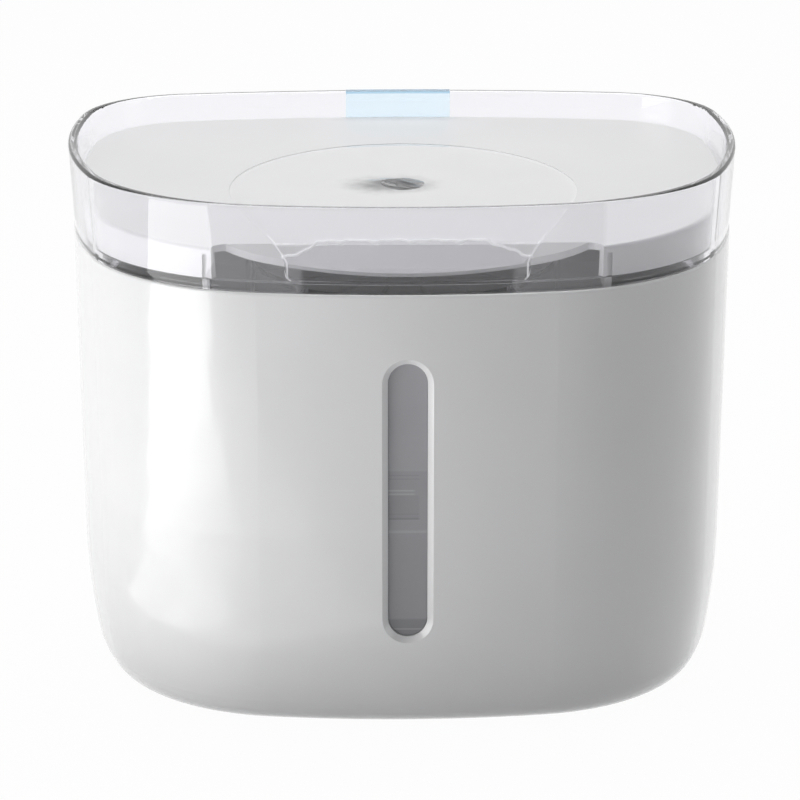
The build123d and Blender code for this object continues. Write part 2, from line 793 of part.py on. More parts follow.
# Lid of the case, with a ribbed intake box on its front left
with BuildPart() as pump_lid:
    with BuildSketch(Plane.XY.offset(pump_rim_z)):
        with Locations((0, spring_y)):
            Circle(pump_radius)
    extrude(amount=pump_lid_thickness)
    fillet(pump_lid.edges().group_by(Axis.Z)[-1], pump_lid_thickness / 3)
    intake_x = (intake_left + intake_right) / 2
    intake_y = spring_y - pump_radius + pump_wall + intake_depth
    with BuildSketch(Plane.XY.offset(pump_top_z)):
        with Locations((intake_x, intake_y)):
            RectangleRounded(intake_right - intake_left, intake_depth, intake_wall)
    extrude(amount=intake_height)
    with BuildSketch(Plane.XY.offset(pump_rim_z)):
        with Locations((intake_x, intake_y)):
            Rectangle(intake_right - intake_left - 2 * intake_wall, intake_depth - 2 * intake_wall)
    extrude(amount=pump_lid_thickness + intake_height - intake_wall, mode=Mode.SUBTRACT)
    with BuildSketch(Plane.XZ.offset(-(intake_y - intake_depth / 2 + intake_wall + cut_over))):
        with Locations((intake_x, pump_top_z + intake_height / 2)):
            with GridLocations(intake_slot_pitch, 1, intake_slot_count, 1):
                Rectangle(intake_slot_width, intake_height - 2 * intake_wall)
    extrude(amount=2 * intake_wall, mode=Mode.SUBTRACT)
    with BuildSketch(Plane.XY.offset(pump_rim_z)):
        with Locations((0, spring_y)):
            Circle(spigot_radius + pump_gap)
    extrude(amount=pump_lid_thickness, mode=Mode.SUBTRACT)

# ================================================================ riser from the pump to the plate
riser_radius = spigot_radius + riser_fit + riser_wall
seal_radius = riser_radius + riser_seal_wall
chimney_bore_radius = seal_radius + chimney_gap
nozzle_bore_radius = seal_radius + riser_seal_gap
plate_spring_z = plate_top_z(spring_y) - course_depth / cos(radians(plate_slope))
riser_top_z = plate_spring_z - plate_wall - riser_top_gap

with BuildPart() as riser_tube:
    with BuildSketch(Plane.XY.offset(pump_top_z)):
        with Locations((0, spring_y)):
            Circle(riser_radius)
            Circle(spigot_radius + riser_fit, mode=Mode.SUBTRACT)
    extrude(amount=riser_top_z - pump_top_z)

with BuildPart() as riser_seal:
    with BuildSketch(Plane.XY.offset(riser_top_z - riser_seal_drop)):
        with Locations((0, spring_y)):
            Circle(seal_radius)
            Circle(riser_radius, mode=Mode.SUBTRACT)
    extrude(amount=-riser_seal_height)

# ================================================================ clear drinking tray
# One wall profile swept round the outline: rim, drafted wall, shoulder on the housing and skirt.
with BuildPart() as tray:
    with BuildSketch(Plane.YZ):
        with BuildLine():
            shoulder_inset = tray_inset(seam_z + tray_seat_gap)
            ledge_wall_inset = tray_inset(tray_ledge_z) + tray_wall
            Polyline(
                (front, rim_z),
                (front + shoulder_inset, seam_z + tray_seat_gap),
                (front + tray_skirt_inset, seam_z + tray_seat_gap),
                (front + tray_skirt_inset, tray_skirt_z),
                (front + tray_skirt_inset + tray_skirt_wall, tray_skirt_z),
                (front + tray_skirt_inset + tray_skirt_wall, tray_ledge_z),
                (front + ledge_wall_inset, tray_ledge_z),
                (front + tray_wall, rim_z),
                close=True,
            )
        rim_profile = make_face()
        fillet(rim_profile.vertices().group_by(Axis.Y)[-1], rim_round)
    sweep(path=path)
    mirror(about=Plane.YZ)
    with BuildSketch(Plane.XY.offset(tray_skirt_z)):
        add(outline(tray_skirt_inset + tray_skirt_wall / 2))
    extrude(amount=tray_floor_thickness)
    # Round filter well with a chimney for the riser
    with BuildSketch(Plane.XY.offset(tray_floor_z - well_depth - tray_floor_thickness)):
        with Locations((0, spring_y)):
            Circle(well_radius)
    extrude(amount=well_depth + tray_floor_thickness)
    with BuildSketch(Plane.XY.offset(tray_floor_z - well_depth)):
        with Locations((0, spring_y)):
            Circle(well_radius - well_wall)
    extrude(amount=well_depth, mode=Mode.SUBTRACT)
    with BuildSketch(Plane.XY.offset(tray_floor_z - well_depth)):
        with Locations((0, spring_y)):
            Circle(chimney_bore_radius + chimney_wall)
    extrude(amount=well_depth + chimney_rise)
    with BuildSketch(Plane.XY.offset(tray_floor_z - well_depth - tray_floor_thickness)):
        with Locations((0, spring_y)):
            Circle(chimney_bore_radius)
    extrude(amount=2 * well_depth, mode=Mode.SUBTRACT)
    # Drain slots in the floor of the well
    with BuildSketch(Plane.XY.offset(tray_floor_z - well_depth - tray_floor_thickness)):
        with Locations((0, spring_y)):
            with PolarLocations((well_radius + riser_radius) / 2, drain_slot_count):
                SlotOverall(well_radius / 2, drain_slot_width)
    extrude(amount=tray_floor_thickness, mode=Mode.SUBTRACT)
    # Notch at the back that holds the light guide
    with BuildSketch(Plane.XY.offset(tray_ledge_z)):
        with Locations((0, back)):
            Rectangle(2 * (guide_half_width + guide_fit), 2 * (tray_wall + shoulder_inset + cut_over))
    extrude(amount=tray_rise, mode=Mode.SUBTRACT)
    # Two short posts in the front gutter
    with BuildSketch(Plane.XY.offset(tray_floor_z)):
        for side in (-1, 1):
            with Locations((side * post_x, front + post_inset + post_x**2 / (2 * front_radius))):
                Circle(post_radius)
    extrude(amount=post_height)

# ================================================================ filter cartridge in the well
filter_z = tray_floor_z - well_depth + filter_seat_gap
filter_top_z = filter_z + filter_height
filter_radius = well_radius - well_wall - filter_gap
filter_bore_radius = chimney_bore_radius + chimney_wall + filter_gap
filter_slot_circle = (filter_radius + filter_bore_radius) / 2
filter_slot_length = filter_radius - filter_bore_radius - 4 * filter_wall
media_z = filter_z + filter_wall + filter_layer_gap
pad_z = filter_top_z - filter_wall - filter_layer_gap - filter_pad_thickness
media_radius = filter_radius - filter_wall - filter_layer_gap
media_bore_radius = filter_bore_radius + filter_wall + filter_layer_gap

with BuildPart() as filter_case:
    with BuildSketch(Plane.XY.offset(filter_z)):
        with Locations((0, spring_y)):
            Circle(filter_radius)
            Circle(filter_bore_radius, mode=Mode.SUBTRACT)
    extrude(amount=filter_height - filter_wall)
    with BuildSketch(Plane.XY.offset(filter_z + filter_wall)):
        with Locations((0, spring_y)):
            Circle(filter_radius - filter_wall)
            Circle(filter_bore_radius + filter_wall, mode=Mode.SUBTRACT)
    extrude(amount=filter_height, mode=Mode.SUBTRACT)
    with BuildSketch(Plane.XY.offset(filter_z)):
        with Locations((0, spring_y)):
            with PolarLocations(filter_slot_circle, filter_slot_count):
                SlotOverall(filter_slot_length, filter_slot_width)
    extrude(amount=filter_wall, mode=Mode.SUBTRACT)

with BuildPart() as filter_media:
    with BuildSketch(Plane.XY.offset(media_z)):
        with Locations((0, spring_y)):
            Circle(media_radius)
            Circle(media_bore_radius, mode=Mode.SUBTRACT)
    extrude(amount=pad_z - filter_layer_gap - media_z)

with BuildPart() as filter_pad:
    with BuildSketch(Plane.XY.offset(pad_z)):
        with Locations((0, spring_y)):
            Circle(media_radius)
            Circle(media_bore_radius, mode=Mode.SUBTRACT)
    extrude(amount=filter_pad_thickness)

with BuildPart() as filter_lid:
    with BuildSketch(Plane.XY.offset(filter_top_z - filter_wall)):
        with Locations((0, spring_y)):
            Circle(filter_radius)
            Circle(filter_bore_radius, mode=Mode.SUBTRACT)
            with PolarLocations(filter_slot_circle, filter_slot_count, 180 / filter_slot_count):
                SlotOverall(filter_slot_length, filter_slot_width, mode=Mode.SUBTRACT)
    extrude(amount=filter_wall)
    # Finger tab, an upright arch between two slots
    with BuildSketch(Plane.YZ.offset(filter_slot_circle - filter_tab_thickness / 2)):
        with Locations((spring_y, filter_top_z - filter_wall / 2)):
            Rectangle(filter_tab_width, filter_tab_height, align=(Align.CENTER, Align.MIN))
            Rectangle(
                filter_tab_width - 2 * filter_tab_side,
                filter_tab_height - filter_tab_top,
                align=(Align.CENTER, Align.MIN),
                mode=Mode.SUBTRACT,
            )
    extrude(amount=filter_tab_thickness)

# ================================================================ water plate
# A drafted cap, hollow from below. Its top falls gently to the spill edge and then steeply.
plate_base_z = tray_ledge_z + plate_seat_gap
plate_inset = tray_inset(plate_base_z) + tray_wall + plate_gap
plate_plane = Plane(
    origin=(0, spill_edge_y, spill_edge_z),
    x_dir=(1, 0, 0),
    z_dir=(0, -sin(radians(plate_slope)), cos(radians(plate_slope))),
)
ramp_plane = Plane(
    origin=(0, spill_edge_y, spill_edge_z),
    x_dir=(1, 0, 0),
    z_dir=(0, -sin(radians(ramp_slope)), cos(radians(ramp_slope))),
)
ramp_drop = (spill_edge_y - front) * tan(radians(ramp_slope))
ramp_edge_thickness = ramp_thickness / cos(radians(ramp_slope))
ramp_length = (spill_edge_y - front) / cos(radians(ramp_slope))
course_taper = (course_half_width - ramp_course_half_width) / (spill_edge_depth - ramp_front_inset)
course_end_half_width = course_half_width - course_taper * spill_edge_depth

# The hollow under the plate
with BuildPart() as plate_hollow:
    with BuildSketch(Plane.XY.offset(plate_base_z)):
        add(outline(plate_inset + plate_wall))
    extrude(amount=tray_rise, taper=-tray_draft)
    split(bisect_by=plate_plane.offset(-plate_wall), keep=Keep.BOTTOM)

# Side walls of the notch, and the ramp between them, cut to the plate's own surfaces
with BuildPart() as cheeks:
    with BuildSketch(Plane.XY.offset(plate_base_z)):
        for side in (-1, 1):
            with Locations((side * (notch_half_width + cheek_wall / 2), spill_edge_y)):
                Rectangle(cheek_wall, 2 * (spill_edge_y - front))
        add(outline(plate_inset + plate_wall / 2), mode=Mode.INTERSECT)
    extrude(amount=tray_rise)
    split(bisect_by=plate_plane.offset(-plate_wall / 2), keep=Keep.BOTTOM)
    # Their lower parts hang behind the tray's skirt, into the gutter
    with BuildSketch(Plane.XY.offset(plate_base_z)):
        for side in (-1, 1):
            with Locations((side * (notch_half_width + cheek_wall / 2), spill_edge_y)):
                Rectangle(cheek_wall, 2 * (spill_edge_y - front))
        add(outline(tray_skirt_inset + tray_skirt_wall + cheek_gutter_gap), mode=Mode.INTERSECT)
    extrude(amount=-cheek_drop)

with BuildPart() as ramp:
    with BuildSketch(Plane.YZ.offset(-notch_half_width - cheek_wall / 2)):
        with BuildLine():
            Polyline(
                (spill_edge_y, spill_edge_z),
                (front, spill_edge_z - ramp_drop),
                (front, spill_edge_z - ramp_drop - ramp_edge_thickness),
                (spill_edge_y, spill_edge_z - ramp_edge_thickness),
                (spill_edge_y + plate_wall / 2, spill_edge_z - ramp_edge_thickness),
                (spill_edge_y + plate_wall / 2, spill_edge_z),
                close=True,
            )
        make_face()
    extrude(amount=2 * notch_half_width + cheek_wall)
    with BuildSketch(Plane.XY.offset(spill_edge_z - ramp_drop - ramp_edge_thickness)):
        add(outline(ramp_front_inset))
    extrude(amount=tray_rise, mode=Mode.INTERSECT)

with BuildPart() as plate:
    with BuildSketch(Plane.XY.offset(plate_base_z)):
        add(outline(plate_inset))
    extrude(amount=tray_rise, taper=-tray_draft)
    split(bisect_by=plate_plane, keep=Keep.BOTTOM)
    fillet(plate.faces().sort_by(Axis.Z)[-1].edges(), plate_edge_round)
    add(plate_hollow.part, mode=Mode.SUBTRACT)
    with BuildSketch(Plane.XY.offset(plate_base_z)):
        with Locations((0, spill_edge_y)):
            notch = Rectangle(
                2 * notch_half_width, 2 * (spill_edge_y - front), align=(Align.CENTER, Align.MAX)
            )
        fillet(notch.vertices().group_by(Axis.Y)[-1], notch_corner_radius)
    extrude(amount=tray_rise, mode=Mode.SUBTRACT)
    add(cheeks.part)
    add(ramp.part)
    # Shallow water course: a round pond, tapering to the spill edge and on down the ramp
    with BuildSketch(plate_plane.offset(-course_depth)):
        with BuildLine():
            CenterArc((0, pond_y - spill_edge_y), pond_radius, 0, 360)
            Line((-course_half_width, 0), (course_half_width, 0))
        make_hull()
    extrude(amount=course_depth + plate_wall, mode=Mode.SUBTRACT)
    with BuildSketch(ramp_plane.offset(-course_depth)):
        with BuildLine():
            Polyline(
                (-course_half_width, 0),
                (-course_half_width, course_depth),
                (course_half_width, course_depth),
                (course_half_width, 0),
                (course_end_half_width, -ramp_length),
                (-course_end_half_width, -ramp_length),
                close=True,
            )
        make_face()
    extrude(amount=course_depth + plate_wall, mode=Mode.SUBTRACT)
    # Nozzle under the plate, round the riser's seal, and the spring hole above it
    with BuildSketch(Plane.XY.offset(plate_spring_z - plate_wall / 2)):
        with Locations((0, spring_y)):
            Circle(nozzle_bore_radius + nozzle_wall)
    extrude(amount=-nozzle_drop - plate_wall / 2)
    with BuildSketch(Plane.XY.offset(plate_spring_z - plate_wall)):
        with Locations((0, spring_y)):
            Circle(nozzle_bore_radius)
    extrude(amount=-nozzle_drop, mode=Mode.SUBTRACT)
    with BuildSketch(Plane.XY.offset(plate_spring_z - plate_wall)):
        with Locations((0, spring_y)):
            Circle(spring_hole_radius)
    extrude(amount=2 * plate_wall, mode=Mode.SUBTRACT)
    # Narrow key grooves in the skirt's face beside the notch
    with BuildSketch(Plane.XY.offset(plate_base_z)):
        for side in (-1, 1):
            with Locations((side * (notch_half_width + key_slot_land + key_slot_width / 2), spill_edge_y)):
                Rectangle(key_slot_width, 2 * (spill_edge_y - front))
        add(outline(plate_inset + key_slot_depth), mode=Mode.SUBTRACT)
    extrude(amount=key_slot_height, mode=Mode.SUBTRACT)
    # Relief at the back of the skirt, over the light guide's foot
    with BuildSketch(Plane.XY.offset(plate_base_z)):
        with Locations((0, back)):
            Rectangle(2 * (guide_half_width + guide_plate_gap), 2 * (plate_inset + plate_wall + cut_over))
    extrude(amount=guide_foot_height + guide_plate_gap, mode=Mode.SUBTRACT)

# ================================================================ light guide in the tray's back wall
guide_foot_z = tray_ledge_z
guide_foot_inset = tray_skirt_inset + tray_skirt_wall - guide_fit
guide_clear_z = plate_top_z(back) + guide_plate_gap
guide_lip_z = rim_z - guide_lip_height
guide_foot_top_z = guide_foot_z + guide_foot_height
guide_neck_y = front + tray_inset(guide_clear_z) + tray_wall
guide_lip_y = front + tray_inset(guide_lip_z) + tray_wall

with BuildPart() as light_guide:
    with BuildSketch(Plane.YZ):
        with BuildLine():
            Polyline(
                (front, rim_z),
                (front + tray_inset(guide_foot_z), guide_foot_z),
                (front + guide_foot_inset, guide_foot_z),
                (front + guide_foot_inset, guide_foot_top_z),
                (front + tray_inset(guide_foot_top_z) + tray_wall, guide_foot_top_z),
                (guide_neck_y, guide_clear_z),
                (guide_neck_y + guide_proud, guide_clear_z),
                (guide_lip_y + guide_proud, guide_lip_z),
                (guide_lip_y + guide_lip_proud, guide_lip_z),
                (front + tray_wall + guide_lip_proud, rim_z),
                close=True,
            )
        make_face()
    sweep(path=path)
    with BuildSketch(Plane.XY.offset(guide_foot_z)):
        with Locations((0, back)):
            Rectangle(guide_half_width, depth / 2, align=(Align.MIN, Align.CENTER))
    extrude(amount=rim_z - guide_foot_z, mode=Mode.INTERSECT)
    mirror(about=Plane.YZ)

# ================================================================ output
pieces = {
    "housing": housing,
    "window_pane": window_pane,
    "window_gasket": window_gasket,
    "base_cover": base_cover,
    "base_gasket": base_gasket,
    "cover_screws": cover_screws,
    "feet": feet,
    "inlet_socket": inlet_socket,
    "inlet_pin": inlet_pin,
    "stator_core": stator_core,
    "stator_coils": stator_coils,
    "control_board": control_board,
    "lamp_window": lamp_window,
    "lamp_board": lamp_board,
    "lamps": lamps,
    "lamp_ribbon": lamp_ribbon,
    "pump_case": pump_case,
    "pump_chamber": pump_chamber,
    "pump_foam": pump_foam,
    "pump_lid": pump_lid,
    "impeller_shaft": impeller_shaft,
    "shaft_bush": shaft_bush,
    "impeller": impeller,
    "rotor_magnet": rotor_magnet,
    "riser_tube": riser_tube,
    "riser_seal": riser_seal,
    "tray": tray,
    "light_guide": light_guide,
    "filter_case": filter_case,
    "filter_media": filter_media,
    "filter_pad": filter_pad,
    "filter_lid": filter_lid,
    "plate": plate,
}
for name, piece in pieces.items():
    piece.part.label = name
    export_step(piece.part, f"parts/{name}.step")
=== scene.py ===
from math import asin, atan2, cos, degrees, exp, hypot, pi, radians, sin, tan

import bmesh
import bpy
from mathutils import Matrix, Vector


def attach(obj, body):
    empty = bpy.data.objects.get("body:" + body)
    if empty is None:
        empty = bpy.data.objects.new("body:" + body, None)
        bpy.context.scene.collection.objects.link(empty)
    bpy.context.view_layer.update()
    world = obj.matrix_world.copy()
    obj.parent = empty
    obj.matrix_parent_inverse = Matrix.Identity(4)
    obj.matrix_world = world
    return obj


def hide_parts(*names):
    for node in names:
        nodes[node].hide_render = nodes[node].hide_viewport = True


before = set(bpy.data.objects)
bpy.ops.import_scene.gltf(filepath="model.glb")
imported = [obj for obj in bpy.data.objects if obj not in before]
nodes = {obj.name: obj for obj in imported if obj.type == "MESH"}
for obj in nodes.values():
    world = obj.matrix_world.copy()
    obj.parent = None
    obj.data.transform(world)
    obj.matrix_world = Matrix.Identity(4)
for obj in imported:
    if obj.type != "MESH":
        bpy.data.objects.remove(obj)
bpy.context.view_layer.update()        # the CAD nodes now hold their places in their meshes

scene = bpy.context.scene
print("frame loaded:", len(nodes), "CAD nodes")


# Camera
cameraSetup = {
    "target": (-0.00086, 0.0, 0.0867),
    "distance": 1.307,
    "elevation": 16.56,       # degrees above level
    "azimuth": 1.1,           # degrees round towards -X
    "lens": 175.2,            # mm
    "sensorWidth": 36,        # mm
    "clipEnd": 20,
}


def placeCamera(setup):
    tilt = radians(setup["elevation"])
    turn = radians(setup["azimuth"])
    target = Vector(setup["target"])
    away = Vector((-sin(turn) * cos(tilt), -cos(turn) * cos(tilt), sin(tilt)))
    camera = bpy.data.objects.new("camera", bpy.data.cameras.new("camera"))
    camera.location = target + away * setup["distance"]
    camera.rotation_euler = (-away).to_track_quat("-Z", "Y").to_euler()
    camera.data.lens = setup["lens"]
    camera.data.sensor_width = setup["sensorWidth"]
    camera.data.clip_end = setup["clipEnd"]
    scene.collection.objects.link(camera)
    scene.camera = camera


placeCamera(cameraSetup)
print("camera placed")


# Lamps, and bright cards on the table for the shell to reflect
lampSetup = {
    # name: (place, aim, width, height, watts)
    "leftSoftbox": ((-1.15, -0.62, 0.36), (0, 0, 0.08), 0.9, 1.0, 7.25),
    "topSoftbox": ((0.0, 0.45, 1.4), (0, 0, 0.15), 1.4, 1.2, 15.5),
    "rightSoftbox": ((1.2, -0.35, 0.36), (0, 0, 0.10), 0.5, 0.9, 1.5),
}
cardSetup = {
    # name: (reach from the middle, azimuth to the left, width, length, watts)
    "farCard": (0.570, 62, 0.330, 0.200, 0.78),
    "broadCard": (0.425, 62, 0.255, 0.090, 0.27),
    "middleCard": (0.340, 59, 0.250, 0.080, 0.165),
    "lowCard": (0.262, 56, 0.220, 0.076, 0.080),
    "nearCard": (0.190, 60, 0.150, 0.068, 0.030),
    "frontCard": (0.300, 33, 0.170, 0.320, 0.110),
    "softCard": (0.250, 15, 0.140, 0.240, 0.018),
}
cardLift = 0.003       # metres from the table up to the cards


def makeLamp(name, place, width, height, watts):
    lamp = bpy.data.objects.new(name, bpy.data.lights.new(name, "AREA"))
    lamp.data.shape = "RECTANGLE"
    lamp.data.size = width
    lamp.data.size_y = height
    lamp.data.energy = watts
    lamp.location = place
    scene.collection.objects.link(lamp)
    return lamp


def placeLamps(setup):
    for name, (place, aim, width, height, watts) in setup.items():
        lamp = makeLamp(name, place, width, height, watts)
        lamp.rotation_euler = (Vector(aim) - Vector(place)).to_track_quat("-Z", "Y").to_euler()


def layCards(setup):
    for name, (reach, azimuth, width, length, watts) in setup.items():
        turn = radians(azimuth)
        card = makeLamp(name, (-reach * sin(turn), -reach * cos(turn), cardLift), width, length, watts)
        card.rotation_euler = (pi, 0, -turn)
        card.visible_camera = False
        card.visible_transmission = False


# Small pieces of node trees
def addMath(tree, operation, first, second):
    node = tree.nodes.new("ShaderNodeMath")
    node.operation = operation
    tree.links.new(first, node.inputs[0])
    if isinstance(second, float):
        node.inputs[1].default_value = second
    else:
        tree.links.new(second, node.inputs[1])
    return node.outputs[0]


def addRange(tree, source, before=(0.0, 1.0), after=(0.0, 1.0), kind="LINEAR"):
    node = tree.nodes.new("ShaderNodeMapRange")
    node.interpolation_type = kind
    node.inputs["From Min"].default_value, node.inputs["From Max"].default_value = before
    node.inputs["To Min"].default_value, node.inputs["To Max"].default_value = after
    tree.links.new(source, node.inputs["Value"])
    return node.outputs["Result"]


def addNoise(tree, place, scale, detail):
    node = tree.nodes.new("ShaderNodeTexNoise")
    node.inputs["Scale"].default_value = scale
    node.inputs["Detail"].default_value = detail
    tree.links.new(place, node.inputs["Vector"])
    return node


def addMix(tree, share, first, second):
    node = tree.nodes.new("ShaderNodeMixShader")
    tree.links.new(share, node.inputs[0])
    tree.links.new(first, node.inputs[1])
    tree.links.new(second, node.inputs[2])
    return node.outputs[0]


def addBackground(tree, colour, strength):
    node = tree.nodes.new("ShaderNodeBackground")
    node.inputs["Color"].default_value = colour
    node.inputs["Strength"].default_value = strength
    return node.outputs[0]


def whiteRays(tree):       # the rays that see the floor and the world as plain white
    path = tree.nodes.new("ShaderNodeLightPath")
    share = path.outputs["Is Camera Ray"]
    for kind in ("Is Glossy Ray", "Is Transmission Ray"):
        share = addMath(tree, "MAXIMUM", share, path.outputs[kind])
    return share


# Stage
stageSetup = {
    "floorSize": 4.0,
    "floorColour": (0.8, 0.8, 0.805, 1),
    "floorRoughness": 0.85,
    "floorGloss": 0.1,
    "floorWhite": 0.97,       # the rest of the floor's colour keeps the shadow
    "ambient": 0.098,
    "ambientColour": (0.96, 0.97, 1.0, 1),
}


def buildWorld(setup):
    scene.world = bpy.data.worlds.new("studio")
    scene.world.use_nodes = True
    tree = scene.world.node_tree
    tree.nodes.clear()
    ambient = addBackground(tree, setup["ambientColour"], setup["ambient"])
    white = addBackground(tree, (1, 1, 1, 1), 1.0)
    out = tree.nodes.new("ShaderNodeOutputWorld")
    tree.links.new(addMix(tree, whiteRays(tree), ambient, white), out.inputs["Surface"])


def buildFloor(setup):
    material = bpy.data.materials.new("paleFloor")
    material.use_nodes = True
    tree = material.node_tree
    shader = tree.nodes["Principled BSDF"]
    shader.inputs["Base Color"].default_value = setup["floorColour"]
    shader.inputs["Roughness"].default_value = setup["floorRoughness"]
    shader.inputs["Specular IOR Level"].default_value = setup["floorGloss"]
    white = tree.nodes.new("ShaderNodeEmission")
    white.inputs["Strength"].default_value = 1.0
    share = addMath(tree, "MULTIPLY", whiteRays(tree), setup["floorWhite"])
    surface = addMix(tree, share, shader.outputs[0], white.outputs[0])
    tree.links.new(surface, tree.nodes["Material Output"].inputs["Surface"])

    mesh = bpy.data.meshes.new("floor")
    half = setup["floorSize"] / 2
    corners = [(-half, -half, 0), (half, -half, 0), (half, half, 0), (-half, half, 0)]
    mesh.from_pydata(corners, [], [(0, 1, 2, 3)])
    mesh.materials.append(material)
    floor = bpy.data.objects.new("floor", mesh)
    scene.collection.objects.link(floor)


scene.view_settings.view_transform = "Standard"
placeLamps(lampSetup)
layCards(cardSetup)
buildWorld(stageSetup)
buildFloor(stageSetup)
print("lamps and stage placed")


# Finishes: spots of two close colours, with a little roughness of their own, over a fine grain
noiseSetup = {
    "spotDetail": 3.0,
    "spotRange": (0.3, 0.7),      # noise values that give the dark and the light colour
    "grainDetail": 2.0,
}


def makeFinish(name, values):
    material = bpy.data.materials.new(name)
    material.use_nodes = True
    tree = material.node_tree
    shader = tree.nodes["Principled BSDF"]
    for socket, value in values.get("sockets", {}).items():
        shader.inputs[socket].default_value = value
    place = tree.nodes.new("ShaderNodeTexCoord").outputs["Object"]
    spots = addNoise(tree, place, values["spotScale"], noiseSetup["spotDetail"]).outputs["Fac"]
    ramp = tree.nodes.new("ShaderNodeValToRGB")
    shades = (values["darkColour"], values["lightColour"])
    for stop, where, shade in zip(ramp.color_ramp.elements, noiseSetup["spotRange"], shades):
        stop.position = where
        stop.color = (*shade, 1)
    tree.links.new(spots, ramp.inputs["Fac"])
    tree.links.new(ramp.outputs["Color"], shader.inputs["Base Color"])
    rough = addRange(tree, spots, after=(values["smoothest"], values["roughest"]))
    tree.links.new(rough, shader.inputs["Roughness"])
    if "grainDepth" in values:
        grain = addNoise(tree, place, values["grainScale"], noiseSetup["grainDetail"])
        bump = tree.nodes.new("ShaderNodeBump")
        bump.inputs["Strength"].default_value = values.get("grainStrength", 0.3)
        bump.inputs["Distance"].default_value = values["grainDepth"]
        tree.links.new(grain.outputs["Fac"], bump.inputs["Height"])
        tree.links.new(bump.outputs["Normal"], shader.inputs["Normal"])
    return material


def dress(material, *names):
    for name in names:
        slots = nodes[name].data.materials
        slots.clear()
        slots.append(material)


